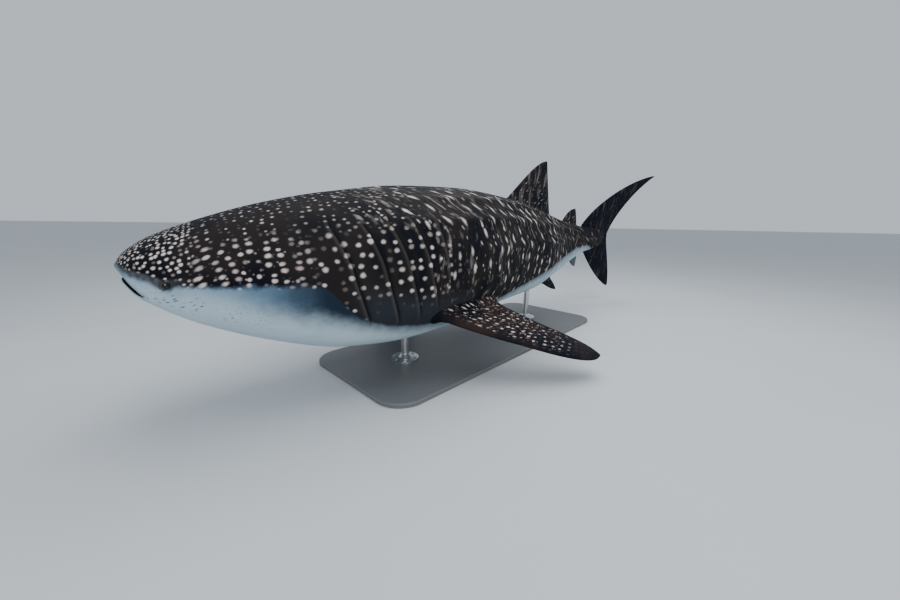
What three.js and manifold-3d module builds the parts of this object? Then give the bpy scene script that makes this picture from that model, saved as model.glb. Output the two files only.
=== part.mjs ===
// A life-size whale shark, held in mid-swim over a plain display stand.
// Millimetres, +Z up. The shark swims towards -X and its left side faces -Y.
// The origin is the centre of the base plate's underside.
// A place on the animal is given as [station, across, up] in shares of its length, on a straight body:
// station runs from the snout back, across is negative on the left, up is measured from the body's axis.
// The whole animal is then bent along its spine.
import * as THREE from "three";
import { mergeVertices } from "three/addons/utils/BufferGeometryUtils.js";
import Module from "manifold-3d";

const wasm = await Module();
wasm.setup();

// Driving dimensions of the animal
const BODY = 7000; // the length that every share is a share of
const AXIS_HEIGHT = 950; // the body's axis above the floor
const GAP = 0.3; // clear space between neighbouring pieces
const SECTION = 2.3; // exponent of the rounded cross-section: 2 is an ellipse, more is boxier
const RING_POINTS = 48; // points round each cross-section

// The spine: the head is turned away to the right, and the tail stock sweeps to the left
const SHOULDER = 0.3; // the station that stays in place
const HEAD_TURN = THREE.MathUtils.degToRad(16);
const NECK_ARC = 0.19; // length of spine over which the head turns
const TAIL_TURN = THREE.MathUtils.degToRad(-16);
const TAIL_ARC_START = 0.62;
const TAIL_ARC = 0.18;

// The body's outline: [station, top, bottom, half width, level of the widest point]
const OUTLINE = [
  [-0.003, 0.0095, 0.0055, 0.0085, 0.0075],
  [0, 0.014, 0.0015, 0.0225, 0.0075],
  [0.006, 0.0203, -0.0143, 0.0393, 0.005],
  [0.02, 0.0296, -0.0268, 0.0585, 0.002],
  [0.05, 0.0426, -0.0472, 0.0698, 0],
  [0.1, 0.059, -0.0696, 0.08, 0],
  [0.16, 0.0725, -0.0875, 0.087, 0],
  [0.22, 0.0805, -0.092, 0.0945, 0],
  [0.28, 0.085, -0.088, 0.0945, 0],
  [0.35, 0.0875, -0.0805, 0.0855, 0],
  [0.42, 0.084, -0.0765, 0.0745, 0.001],
  [0.5, 0.0735, -0.0715, 0.0672, 0.003],
  [0.58, 0.061, -0.057, 0.05, 0.006],
  [0.66, 0.049, -0.036, 0.0372, 0.01],
  [0.73, 0.041, -0.0155, 0.027, 0.013],
  [0.77, 0.038, -0.009, 0.021, 0.015],
  [0.82, 0.031, 0.004, 0.0016, 0.0165],
];
const TAIL_END = 0.82; // where the body ends inside the root of the tail fin

// Where the body is parted into its named lengths
const GILLS_START = 0.108;
const TRUNK_START = 0.262;
const REAR_START = 0.46;
const STOCK_START = 0.655;

// Long ridges on each side, and the one along the back: [degrees from the top, first station, last station, height]
const RIDGES = [
  [0, 0.16, 0.46, 0.0035],
  [37.5, 0.19, 0.64, 0.0038],
  [60, 0.18, 0.7, 0.0042],
  [82.5, 0.24, 0.74, 0.0042],
];
// Side keel on the tail stock
const KEEL = { angle: 90, width: 12, from: 0.66, full: 0.76, fade: 0.77, height: 0.008 };
const RIDGE_WIDTH = 5; // degrees from a ridge's crest to where it has died out

// Gill flaps: one stands at each station, on the side of the body
const GILL_STATIONS = [0.158, 0.183, 0.204, 0.224, 0.243];
const GILL_TOP = 56; // degrees from the top of the body
const GILL_BOTTOMS = [122, 122, 119, 112, 104]; // the rear gills end above the pectoral fin
const GILL_SLANT = 0.014; // how far a gill's lower end stands behind its middle
const GILL_LIFT = 0.0026; // the free edge of a flap above the skin
const GILL_DEPTH = 0.0022; // the groove behind it, below the skin
const SLIT_REACH = 0.0085; // how far a slit runs forward under its flap
const SLIT_WIDTH = 0.0012;

// Head
// The line between the lips, [station, up]
const MOUTH_LINE = [[-0.01, 0.0078], [0.003, 0.0074], [0.0081, 0.0052], [0.0139, -0.0041], [0.021, -0.0132]];
const MOUTH_CORNER = MOUTH_LINE[MOUTH_LINE.length - 1];
const MOUTH_OPEN = 0.0055; // between the lips at the front
const JAW_BACK = 0.066; // where the lower jaw ends under the throat
const LIP_RADIUS = 11; // mm
const EYE_PLACE = [0.0355, -0.0035]; // [station, up]
const EYE_RADIUS = 27; // mm
const EYE_PROUD = 9; // mm, how far an eye stands out of the skin
const LID_RADIUS = 7; // mm, thickness of the rim round the eye
const SPIRACLE_STATION = 0.054;
const SPIRACLE_RADIUS = 15; // mm
const NOSTRIL = { station: 0.0065, length: 44, width: 17 }; // a slot in the edge of the upper lip

// Stand
const PLATE = { length: 3300, width: 1300, thick: 36, corner: 220, chamfer: 6 };
const PLATE_STATION = 0.4; // the station of the spine over the plate's centre
const ROD_STATIONS = { front: 0.25, rear: 0.54 };
const ROD_RADIUS = 36;
const FLANGE = { radius: 125, thick: 16 };

const clamp = THREE.MathUtils.clamp;
const smooth = THREE.MathUtils.smoothstep;
const radians = THREE.MathUtils.degToRad;

// A smooth curve through one column of the outline that never swings past its points
function outline(column, station) {
  const last = OUTLINE.length - 1;
  const slope = (i) => (OUTLINE[i + 1][column] - OUTLINE[i][column]) / (OUTLINE[i + 1][0] - OUTLINE[i][0]);
  const tangent = (i) => {
    if (i === 0) return slope(0);
    if (i === last) return slope(last - 1);
    const before = slope(i - 1);
    const after = slope(i);
    return before * after > 0 ? (2 * before * after) / (before + after) : 0;
  };
  const s = clamp(station, OUTLINE[0][0], OUTLINE[last][0]);
  let i = 0;
  while (i < last - 1 && s > OUTLINE[i + 1][0]) i++;
  const width = OUTLINE[i + 1][0] - OUTLINE[i][0];
  const t = (s - OUTLINE[i][0]) / width;
  const ease = t * t * (3 - 2 * t);
  return (
    OUTLINE[i][column] * (1 - ease) +
    OUTLINE[i + 1][column] * ease +
    tangent(i) * width * t * (1 - t) * (1 - t) -
    tangent(i + 1) * width * t * t * (1 - t)
  );
}
const top = (station) => outline(1, station);
const bottom = (station) => outline(2, station);
const halfWidth = (station) => outline(3, station);
const widest = (station) => outline(4, station);

// How far the skin stands from the middle at a station and a level
function reachAt(station, up) {
  const middle = widest(station);
  const room = up > middle ? top(station) - middle : middle - bottom(station);
  const share = Math.min(1, Math.abs(up - middle) / room);
  return halfWidth(station) * Math.pow(1 - Math.pow(share, SECTION), 1 / SECTION);
}

// A walk that goes straight, then round one arc, then straight on
function walk(distance, run, arc, turn) {
  const onArc = clamp(distance - run, 0, arc);
  const past = Math.max(distance - run - arc, 0);
  const angle = (turn * onArc) / arc;
  return {
    forward: Math.min(distance, run) + (Math.sin(angle) * arc) / turn + Math.cos(angle) * past,
    aside: ((1 - Math.cos(angle)) * arc) / turn + Math.sin(angle) * past,
    angle,
  };
}

function spine(station) {
  if (station < SHOULDER) {
    const head = walk(SHOULDER - station, 0, NECK_ARC, HEAD_TURN);
    return { x: SHOULDER - head.forward, y: head.aside, heading: -head.angle };
  }
  const tail = walk(station - SHOULDER, TAIL_ARC_START - SHOULDER, TAIL_ARC, TAIL_TURN);
  return { x: SHOULDER + tail.forward, y: tail.aside, heading: tail.angle };
}

const PLATE_CENTRE = spine(PLATE_STATION);

// A place on the straight animal, in shares of its length, becomes a point of the bent one in millimetres
function place([station, across, up]) {
  const { x, y, heading } = spine(station);
  return new THREE.Vector3(
    (x - Math.sin(heading) * across - PLATE_CENTRE.x) * BODY,
    (y + Math.cos(heading) * across - PLATE_CENTRE.y) * BODY,
    up * BODY + AXIS_HEIGHT,
  );
}

// How high ridges, keel and gill flaps stand on the skin; degrees run from the top down to 180 on either side
function relief(station, degrees) {
  let lift = 0;
  for (const [angle, from, to, height] of RIDGES) {
    const crest = Math.max(0, 1 - Math.abs(degrees - angle) / RIDGE_WIDTH);
    lift += height * crest * smooth(station, from, from + 0.07) * (1 - smooth(station, to - 0.08, to));
  }
  const side = Math.max(0, 1 - Math.abs(degrees - KEEL.angle) / KEEL.width);
  const grown = smooth(station, KEEL.from, KEEL.full) * (1 - smooth(station, KEEL.fade, TAIL_END));
  return lift + KEEL.height * side * side * grown;
}

function gillRelief(row, degrees) {
  const before = 0.013;
  const after = 0.005;
  const i = GILL_STATIONS.findIndex((gill) => row > gill - before && row < gill + after);
  if (i < 0) return 0;
  const past = row - GILL_STATIONS[i];
  const end = GILL_BOTTOMS[i];
  const fade = smooth(degrees, GILL_TOP - 8, GILL_TOP + 10) * (1 - smooth(degrees, end - 10, end + 8));
  return past < 0 ? fade * GILL_LIFT * Math.pow(1 + past / before, 2) : -fade * GILL_DEPTH * (1 - past / after);
}

// In the gill region the rings of the body lean back at their lower end, as the gills do
function leaningStation(row, degrees) {
  const within = smooth(row, GILLS_START, 0.14) * (1 - smooth(row, 0.228, TRUNK_START - 0.002));
  return row + (GILL_SLANT * within * clamp(degrees - 90, -30, 30)) / 30;
}

// One point of the skin on the straight body; turn is 0 at the top, 90 on the left side and 270 on the right
function skinPlace(row, turn, lift = 0) {
  const degrees = turn > 180 ? 360 - turn : turn;
  const station = leaningStation(row, degrees);
  const cos = Math.cos(radians(turn));
  const sin = Math.sin(radians(turn));
  const middle = widest(station);
  const up = middle + Math.pow(Math.abs(cos), 2 / SECTION) * ((cos > 0 ? top(station) : bottom(station)) - middle);
  const across = -Math.sign(sin) * Math.pow(Math.abs(sin), 2 / SECTION) * halfWidth(station);
  const out = new THREE.Vector2(across, up - middle).normalize();
  const rise = relief(station, degrees) + gillRelief(row, degrees) + lift / BODY;
  return [station, across + out.x * rise, up + out.y * rise];
}

function geometryOf(points, faces) {
  const geometry = new THREE.BufferGeometry().setFromPoints(points);
  geometry.setIndex(faces.flat());
  return geometry;
}

// A closed length of the body through the given rows, with flat ends
function bodyLength(rows, lift = 0) {
  const points = [];
  const faces = [];
  for (const row of rows) {
    for (let i = 0; i < RING_POINTS; i++) points.push(place(skinPlace(row, (360 * i) / RING_POINTS, lift)));
  }
  const ring = (r, i) => r * RING_POINTS + (i % RING_POINTS);
  for (let r = 0; r < rows.length - 1; r++) {
    for (let i = 0; i < RING_POINTS; i++) {
      faces.push([ring(r, i), ring(r, i + 1), ring(r + 1, i)]);
      faces.push([ring(r, i + 1), ring(r + 1, i + 1), ring(r + 1, i)]);
    }
  }
  for (const [r, flip] of [[0, false], [rows.length - 1, true]]) {
    const station = rows[r];
    const centre = points.push(place([station, 0, widest(station)])) - 1;
    for (let i = 0; i < RING_POINTS; i++) {
      faces.push(flip ? [centre, ring(r, i), ring(r, i + 1)] : [centre, ring(r, i + 1), ring(r, i)]);
    }
  }
  return geometryOf(points, faces);
}

// Rows from one station to another in even steps, both ends included
function steps(from, to, count) {
  return Array.from({ length: count + 1 }, (_, i) => from + ((to - from) * i) / count);
}

// A geometry as a solid for joining and cutting, with its faces turned out
function solid(geometry) {
  const bare = geometry.index ? geometry.toNonIndexed() : geometry.clone();
  const positions = new THREE.BufferGeometry().setAttribute("position", bare.getAttribute("position"));
  const merged = mergeVertices(positions, 1e-3);
  const corners = [];
  for (let i = 0; i < merged.index.count; i += 3) {
    const [a, b, c] = [0, 1, 2].map((k) => merged.index.getX(i + k));
    if (a !== b && b !== c && c !== a) corners.push([a, b, c]);
  }
  const make = (triangles) =>
    new wasm.Manifold(
      new wasm.Mesh({
        numProp: 3,
        vertProperties: merged.attributes.position.array,
        triVerts: new Uint32Array(triangles.flat()),
      }),
    );
  const made = make(corners);
  return made.volume() < 0 ? make(corners.map(([a, b, c]) => [a, c, b])) : made;
}

// The largest closed piece of a solid, back as a geometry
function geometryFrom(made) {
  const pieces = made.decompose().sort((a, b) => b.volume() - a.volume());
  const { numProp, vertProperties, triVerts } = pieces[0].getMesh();
  const geometry = new THREE.BufferGeometry();
  const positions = new Float32Array((vertProperties.length / numProp) * 3);
  for (let i = 0; i < positions.length / 3; i++) {
    positions.set(vertProperties.subarray(i * numProp, i * numProp + 3), i * 3);
  }
  geometry.setAttribute("position", new THREE.BufferAttribute(positions, 3));
  geometry.setIndex(new THREE.BufferAttribute(triVerts, 1));
  return geometry;
}

// Rows of each length of the body
const share = GAP / 2 / BODY;
const headRows = [-0.003, -0.0015, 0, 0.0025, 0.006, 0.012, 0.02, 0.03, 0.042, 0.056, 0.074, 0.092, GILLS_START - share];
const gillRows = [GILLS_START + share, 0.12, 0.133];
for (const gill of GILL_STATIONS) gillRows.push(gill - 0.013, gill - 0.004, gill - 0.0002, gill + 0.0002, gill + 0.005);
gillRows.push(0.255, TRUNK_START - share);
const trunkRows = steps(TRUNK_START + share, REAR_START - share, 11);
const rearRows = steps(REAR_START + share, STOCK_START - share, 9);
const stockRows = [...steps(STOCK_START + share, 0.77, 6), 0.785, 0.8, TAIL_END];
const hullRows = [...headRows, ...gillRows, ...trunkRows, ...rearRows, ...stockRows.slice(0, -1), TAIL_END + 2 * share];

const hull = solid(bodyLength(hullRows, GAP + 0.1)); // what every piece that meets the skin is cut clear of

// A cutter or filler whose outline in [station, up] runs straight across the head
function acrossHead(corners) {
  const shape = new THREE.Shape(corners.map(([station, up]) => new THREE.Vector2(station, up)));
  const geometry = new THREE.ExtrudeGeometry(shape, { depth: 0.3, bevelEnabled: false });
  const position = geometry.getAttribute("position");
  for (let i = 0; i < position.count; i++) {
    const at = place([position.getX(i), 0.15 - position.getZ(i), position.getY(i)]);
    position.setXYZ(i, at.x, at.y, at.z);
  }
  return solid(geometry);
}

// The edge of the mouth on the skin, from one corner round the front to the other
function mouthEdge(lineUp) {
  const on = (station, sign) => place([station, sign * reachAt(station, lineUp(station)), lineUp(station)]);
  const stations = [-0.0015, 0.0005, 0.003, 0.0065, 0.0105, 0.015, MOUTH_CORNER[0] + 0.001];
  const side = (sign) => stations.map((station) => on(station, sign));
  return [...side(-1).reverse(), place([-0.003, 0, lineUp(-0.003)]), ...side(1)];
}

function tubeAlong(points, radius, sides) {
  const section = new THREE.Shape();
  section.absarc(0, 0, radius, 0, Math.PI * 2);
  return new THREE.ExtrudeGeometry(section, {
    steps: points.length + 4,
    curveSegments: sides,
    bevelEnabled: false,
    extrudePath: new THREE.CatmullRomCurve3(points),
  });
}

// The levels of the two lips at a station
function upperLine(station) {
  const next = MOUTH_LINE.findIndex(([at]) => at > station);
  if (next < 0) return MOUTH_CORNER[1];
  const [[s0, up0], [s1, up1]] = [MOUTH_LINE[next - 1], MOUTH_LINE[next]];
  return up0 + ((up1 - up0) * (station - s0)) / (s1 - s0);
}

function lowerLine(station) {
  const ahead = clamp(1 - station / MOUTH_CORNER[0], 0, 1);
  return upperLine(station) - MOUTH_OPEN * Math.pow(ahead, 0.4);
}

// A point some millimetres under the skin of the head's side
function onSkin(station, up, sign, depth) {
  return place([station, sign * (reachAt(station, up) - depth / BODY), up]);
}

const headHeading = spine(0).heading;
const outward = (sign) => new THREE.Vector3(-Math.sin(headHeading), Math.cos(headHeading), 0).multiplyScalar(sign);

function eyeGeometry(sign, extra = 0) {
  const at = onSkin(EYE_PLACE[0], EYE_PLACE[1], sign, EYE_RADIUS - EYE_PROUD);
  return new THREE.SphereGeometry(EYE_RADIUS + extra, 16, 12).translate(at.x, at.y, at.z);
}

// A geometry made along +Z is turned to point out of the side of the head and set on the skin
function onHeadSide(geometry, station, up, sign, depth) {
  const at = onSkin(station, up, sign, depth);
  const turn = new THREE.Quaternion().setFromUnitVectors(new THREE.Vector3(0, 0, 1), outward(sign));
  return geometry.applyQuaternion(turn).translate(at.x, at.y, at.z);
}

const head = () => {
  const mouthStations = [-0.0099, 0.003, 0.0081, 0.011, 0.0139, 0.0175];
  const jawOutline = (grow) => [
    ...mouthStations.map((station) => [station, lowerLine(station) + grow]),
    [MOUTH_CORNER[0] + grow, MOUTH_CORNER[1] + grow],
    [JAW_BACK * 0.62 + grow, -0.038],
    [JAW_BACK + grow, -0.075],
    [-0.0099, -0.075],
  ];
  const mouthGap = [
    ...mouthStations.map((station) => [station, upperLine(station)]),
    [MOUTH_CORNER[0] + 0.0008, MOUTH_CORNER[1]],
    ...mouthStations.map((station) => [station, lowerLine(station)]).reverse(),
  ];
  let whole = solid(bodyLength(headRows));
  const upperLip = mouthEdge((station) => upperLine(station) + (LIP_RADIUS * 0.5) / BODY);
  const lowerLip = mouthEdge((station) => lowerLine(station) - (LIP_RADIUS * 0.5) / BODY);
  whole = whole.add(solid(tubeAlong(upperLip, LIP_RADIUS, 6))).add(solid(tubeAlong(lowerLip, LIP_RADIUS, 6)));
  const jaw = whole.intersect(acrossHead(jawOutline(0))).subtract(acrossHead(mouthGap));
  let skull = whole.subtract(acrossHead(jawOutline((1.4 * GAP) / BODY))).subtract(acrossHead(mouthGap));
  for (const sign of [-1, 1]) {
    const lid = onHeadSide(
      new THREE.TorusGeometry(EYE_RADIUS - 1, LID_RADIUS, 6, 18),
      EYE_PLACE[0], EYE_PLACE[1], sign, 1);
    const spiracle = onHeadSide(
      new THREE.CylinderGeometry(SPIRACLE_RADIUS, SPIRACLE_RADIUS * 0.6, 40, 12).rotateX(Math.PI / 2),
      SPIRACLE_STATION, EYE_PLACE[1], sign, 6);
    const nostrilAt = onSkin(NOSTRIL.station, upperLine(NOSTRIL.station), sign, 0);
    const nostril = new THREE.CapsuleGeometry(NOSTRIL.width / 2, NOSTRIL.length, 3, 8)
      .rotateZ(Math.PI / 2 + headHeading)
      .translate(nostrilAt.x, nostrilAt.y, nostrilAt.z);
    skull = skull
      .add(solid(lid))
      .subtract(solid(eyeGeometry(sign, GAP + 0.2)))
      .subtract(solid(spiracle))
      .subtract(solid(nostril));
  }
  return { skull, jaw };
};

// A thin slit that runs forward and inward under the free edge of a gill flap
function slit(index, sign) {
  const gill = GILL_STATIONS[index];
  const count = 6;
  const points = [];
  const faces = [];
  for (let i = 0; i <= count; i++) {
    const degrees = GILL_TOP + 4 + ((GILL_BOTTOMS[index] - GILL_TOP - 8) * i) / count;
    const turn = sign < 0 ? degrees : 360 - degrees;
    const reach = SLIT_REACH * (0.45 + 0.55 * Math.sin((Math.PI * i) / count));
    const at = (shift, lift) => {
      const [station, across, up] = skinPlace(gill, turn, lift);
      return place([station + 0.0003 + shift, across, up]);
    };
    points.push(at(0, 30), at(-reach, -26), at(2 * SLIT_WIDTH - reach, -34), at(2 * SLIT_WIDTH, 30));
  }
  const corner = (i, k) => i * 4 + (k % 4);
  for (let i = 0; i < count; i++) {
    for (let k = 0; k < 4; k++) {
      faces.push([corner(i, k), corner(i, k + 1), corner(i + 1, k)]);
      faces.push([corner(i, k + 1), corner(i + 1, k + 1), corner(i + 1, k)]);
    }
  }
  faces.push([corner(0, 0), corner(0, 2), corner(0, 1)], [corner(0, 0), corner(0, 3), corner(0, 2)]);
  faces.push([corner(count, 0), corner(count, 1), corner(count, 2)]);
  faces.push([corner(count, 0), corner(count, 2), corner(count, 3)]);
  return solid(geometryOf(points, faces));
}

const gillRegion = () => {
  let made = solid(bodyLength(gillRows));
  GILL_STATIONS.forEach((_, index) => {
    for (const sign of [-1, 1]) made = made.subtract(slit(index, sign));
  });
  return made;
};

// Fins. Each outline is drawn in the fin's own plane as two curves that meet at a rounded tip:
// [back, out] in shares of the body, from the root's front to the tip, and from the root's rear to the tip.
const FINS = {
  pectoral: {
    root: [0.232, -0.086, -0.0585],
    lead: [[-0.012, -0.03], [0.0494, 0.0485], [0.12, 0.1275], [0.159, 0.1195]],
    trail: [[0.1, -0.03], [0.1105, 0.0363], [0.1745, 0.0851], [0.1655, 0.116]],
    droop: 26,
    thick: [0.0145, 0.0035],
  },
  pelvic: {
    root: [0.515, -0.034, -0.05],
    lead: [[-0.012, -0.02], [0.006, 0.011], [0.016, 0.0235], [0.032, 0.026]],
    trail: [[0.04, -0.02], [0.046, 0.004], [0.044, 0.016], [0.0365, 0.0248]],
    droop: 46,
    thick: [0.0055, 0.0018],
  },
  firstDorsal: {
    root: [0.44, 0, 0.078],
    lead: [[-0.02, -0.02], [0.045, 0.018], [0.09, 0.066], [0.1355, 0.077]],
    trail: [[0.17, -0.04], [0.157, 0.012], [0.147, 0.052], [0.1425, 0.0755]],
    thick: [0.0125, 0.0026],
  },
  secondDorsal: {
    root: [0.652, 0, 0.045],
    lead: [[-0.012, -0.02], [0.011, 0.019], [0.033, 0.031], [0.0525, 0.0325]],
    trail: [[0.066, -0.02], [0.063, 0.006], [0.058, 0.026], [0.0545, 0.0315]],
    thick: [0.0065, 0.002],
  },
  anal: {
    root: [0.69, 0, -0.02],
    lead: [[-0.012, -0.012], [0.006, 0.008], [0.018, 0.024], [0.031, 0.0255]],
    trail: [[0.038, -0.012], [0.036, 0.004], [0.0365, 0.018], [0.033, 0.0248]],
    thick: [0.0055, 0.002],
  },
  upperTail: {
    root: [0.755, 0, 0.0165],
    lead: [[-0.032, 0.015], [0.02, 0.0745], [0.14, 0.1325], [0.2335, 0.1495]],
    trail: [[0.07, -0.002], [0.09, 0.05], [0.167, 0.113], [0.2345, 0.147]],
    thick: [0.011, 0.0022],
  },
  lowerTail: {
    root: [0.755, 0, 0.0165],
    lead: [[-0.02, 0.013], [0.007, 0.046], [0.051, 0.099], [0.094, 0.1165]],
    trail: [[0.074, -0.004], [0.081, 0.035], [0.099, 0.075], [0.099, 0.113]],
    thick: [0.0095, 0.002],
  },
};
const FIN_ROWS = 12;
const FIN_COLUMNS = 6;

function bezier(points, t) {
  const [a, b, c, d] = points.map(([x, y]) => new THREE.Vector2(x, y));
  return new THREE.CubicBezierCurve(a, b, c, d).getPoint(t);
}

// A fin as two alike faces either side of its middle surface, closed all round its edge.
// outDirection is [across, up] of the fin's span, and the fin is thick near its leading edge.
function finGeometry({ root, lead, trail, thick }, outDirection) {
  const [outAcross, outUp] = outDirection;
  const side = [-outUp, outAcross]; // square to the span, for the thickness
  const points = [];
  const faces = [];
  const index = (face, r, c) => (face * (FIN_ROWS + 1) + r) * (FIN_COLUMNS + 1) + c;
  for (const face of [1, -1]) {
    for (let r = 0; r <= FIN_ROWS; r++) {
      const t = 1 - Math.pow(1 - r / FIN_ROWS, 1.5);
      const from = bezier(lead, t);
      const to = bezier(trail, t);
      for (let c = 0; c <= FIN_COLUMNS; c++) {
        const v = Math.pow(c / FIN_COLUMNS, 1.35);
        const at = from.clone().lerp(to, v);
        const belly = 2.2 * Math.sqrt(v) * (1 - v) + 0.12;
        const half = 0.5 * belly * (thick[0] + (thick[1] - thick[0]) * Math.pow(t, 0.8));
        points.push(
          place([
            root[0] + at.x,
            root[1] + at.y * outAcross + face * half * side[0],
            root[2] + at.y * outUp + face * half * side[1],
          ]),
        );
      }
    }
  }
  for (let r = 0; r < FIN_ROWS; r++) {
    for (let c = 0; c < FIN_COLUMNS; c++) {
      const [a, b, e, d] = [[r, c], [r + 1, c], [r + 1, c + 1], [r, c + 1]].map(([i, k]) => index(0, i, k));
      const [p, q, s, u] = [[r, c], [r + 1, c], [r + 1, c + 1], [r, c + 1]].map(([i, k]) => index(1, i, k));
      faces.push([a, b, e], [a, e, d], [p, s, q], [p, u, s]);
    }
  }
  const edge = [];
  for (let r = 0; r < FIN_ROWS; r++) edge.push([r, 0]);
  for (let c = 0; c < FIN_COLUMNS; c++) edge.push([FIN_ROWS, c]);
  for (let r = FIN_ROWS; r > 0; r--) edge.push([r, FIN_COLUMNS]);
  for (let c = FIN_COLUMNS; c > 0; c--) edge.push([0, c]);
  edge.forEach(([r, c], i) => {
    const [nextR, nextC] = edge[(i + 1) % edge.length];
    faces.push([index(0, r, c), index(1, r, c), index(1, nextR, nextC)]);
    faces.push([index(0, r, c), index(1, nextR, nextC), index(0, nextR, nextC)]);
  });
  return geometryOf(points, faces);
}

const mirrored = (fin) => ({ ...fin, root: [fin.root[0], -fin.root[1], fin.root[2]] });

function pairedFin(fin, sign) {
  const droop = radians(fin.droop);
  const made = finGeometry(sign < 0 ? fin : mirrored(fin), [sign * Math.cos(droop), -Math.sin(droop)]);
  return geometryFrom(solid(made).subtract(hull));
}

const middleFin = (fin, up) => geometryFrom(solid(finGeometry(fin, [0, up])).subtract(hull));

// The two lobes of the tail fin part along a level line through the tail stock's middle
function tailLobe(fin, up) {
  const level = FINS.upperTail.root[2];
  const half = up > 0 ? [level + share, level + 0.3] : [level - 0.3, level - share];
  const corners = [[0.72, half[0]], [1.1, half[0]], [1.1, half[1]], [0.72, half[1]]];
  const made = solid(finGeometry(fin, [0, up])).intersect(acrossHead(corners));
  return geometryFrom(made.subtract(hull));
}

// Stand
function plateGeometry() {
  const { length, width, thick, corner, chamfer } = PLATE;
  const x = length / 2 - chamfer;
  const y = width / 2 - chamfer;
  const shape = new THREE.Shape();
  shape.moveTo(-x + corner, -y);
  shape.lineTo(x - corner, -y);
  shape.absarc(x - corner, -y + corner, corner, -Math.PI / 2, 0);
  shape.lineTo(x, y - corner);
  shape.absarc(x - corner, y - corner, corner, 0, Math.PI / 2);
  shape.lineTo(-x + corner, y);
  shape.absarc(-x + corner, y - corner, corner, Math.PI / 2, Math.PI);
  shape.lineTo(-x, -y + corner);
  shape.absarc(-x + corner, -y + corner, corner, Math.PI, Math.PI * 1.5);
  return new THREE.ExtrudeGeometry(shape, {
    depth: thick - 2 * chamfer,
    bevelThickness: chamfer,
    bevelSize: chamfer,
    bevelSegments: 1,
    curveSegments: 8,
  }).translate(0, 0, chamfer);
}

// A rod with a turned flange at its foot, cut to the belly it holds
function rodGeometry(station) {
  const tall = AXIS_HEIGHT - PLATE.thick - GAP;
  const profile = [
    [0, 0],
    [FLANGE.radius, 0],
    [FLANGE.radius, FLANGE.thick],
    [ROD_RADIUS + 22, FLANGE.thick + 6],
    [ROD_RADIUS, FLANGE.thick + 30],
    [ROD_RADIUS, tall],
    [0, tall],
  ].map(([x, y]) => new THREE.Vector2(x, y));
  const foot = place([station, 0, 0]);
  const made = new THREE.LatheGeometry(profile, 28).rotateX(Math.PI / 2).translate(foot.x, foot.y, PLATE.thick + GAP);
  return geometryFrom(solid(made).subtract(hull));
}

const group = new THREE.Group();

function add(name, geometry, color, roughness, metalness = 0) {
  geometry.computeVertexNormals();
  const material = new THREE.MeshStandardMaterial({ color, roughness, metalness, flatShading: true });
  const mesh = new THREE.Mesh(geometry, material);
  mesh.name = name;
  group.add(mesh);
}

const SKIN = 0x262a30;
const { skull, jaw } = head();
add("head", geometryFrom(skull), SKIN, 0.45);
add("lower_jaw", geometryFrom(jaw), 0xb9c4cc, 0.45);
add("gill_region", geometryFrom(gillRegion()), SKIN, 0.45);
add("trunk", bodyLength(trunkRows), SKIN, 0.45);
add("rear_trunk", bodyLength(rearRows), SKIN, 0.45);
add("tail_stock", bodyLength(stockRows), SKIN, 0.45);
for (const [name, sign] of [["left", -1], ["right", 1]]) {
  add("eye_" + name, eyeGeometry(sign), 0x0c0d10, 0.1);
  add("pectoral_fin_" + name, pairedFin(FINS.pectoral, sign), SKIN, 0.5);
  add("pelvic_fin_" + name, pairedFin(FINS.pelvic, sign), SKIN, 0.5);
}
add("first_dorsal_fin", middleFin(FINS.firstDorsal, 1), SKIN, 0.5);
add("second_dorsal_fin", middleFin(FINS.secondDorsal, 1), SKIN, 0.5);
add("anal_fin", middleFin(FINS.anal, -1), SKIN, 0.5);
add("tail_fin_upper", tailLobe(FINS.upperTail, 1), SKIN, 0.5);
add("tail_fin_lower", tailLobe(FINS.lowerTail, -1), SKIN, 0.5);
add("stand_base", plateGeometry(), 0x3a3d40, 0.4, 0.6);
for (const [name, station] of Object.entries(ROD_STATIONS)) {
  add("stand_rod_" + name, rodGeometry(station), 0x9a9ea2, 0.3, 0.9);
}

export default group;
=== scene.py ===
import math
import bmesh
import bpy
import numpy as np
from mathutils import Matrix, Vector


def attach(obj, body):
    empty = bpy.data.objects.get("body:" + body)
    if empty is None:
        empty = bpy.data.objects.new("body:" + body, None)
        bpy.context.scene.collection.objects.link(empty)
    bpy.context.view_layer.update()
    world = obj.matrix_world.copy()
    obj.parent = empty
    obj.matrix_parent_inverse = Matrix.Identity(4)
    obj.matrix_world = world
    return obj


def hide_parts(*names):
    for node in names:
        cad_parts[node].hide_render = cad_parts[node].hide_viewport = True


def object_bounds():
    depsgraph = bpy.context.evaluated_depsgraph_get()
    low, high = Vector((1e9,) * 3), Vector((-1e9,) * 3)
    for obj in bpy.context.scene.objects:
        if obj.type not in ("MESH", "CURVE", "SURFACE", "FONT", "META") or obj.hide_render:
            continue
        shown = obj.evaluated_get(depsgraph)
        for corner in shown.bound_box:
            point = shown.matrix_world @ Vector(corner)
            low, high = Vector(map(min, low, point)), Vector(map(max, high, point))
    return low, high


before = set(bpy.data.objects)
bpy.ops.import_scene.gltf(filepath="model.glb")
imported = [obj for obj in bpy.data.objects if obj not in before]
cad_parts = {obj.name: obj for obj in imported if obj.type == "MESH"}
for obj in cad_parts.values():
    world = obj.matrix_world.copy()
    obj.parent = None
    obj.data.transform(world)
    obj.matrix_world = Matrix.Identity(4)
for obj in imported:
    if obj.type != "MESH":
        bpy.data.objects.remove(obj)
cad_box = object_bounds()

# The hide: one unbroken skin over head, gills, trunk and tail stock, tough and smooth as wet leather,
# nearly black above and pale below, with the rows of cream spots and bars that the animal is known by.
# It is lofted through rings along the bent spine; mouth, gill flaps, eyelids and nostrils are pressed in.

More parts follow.
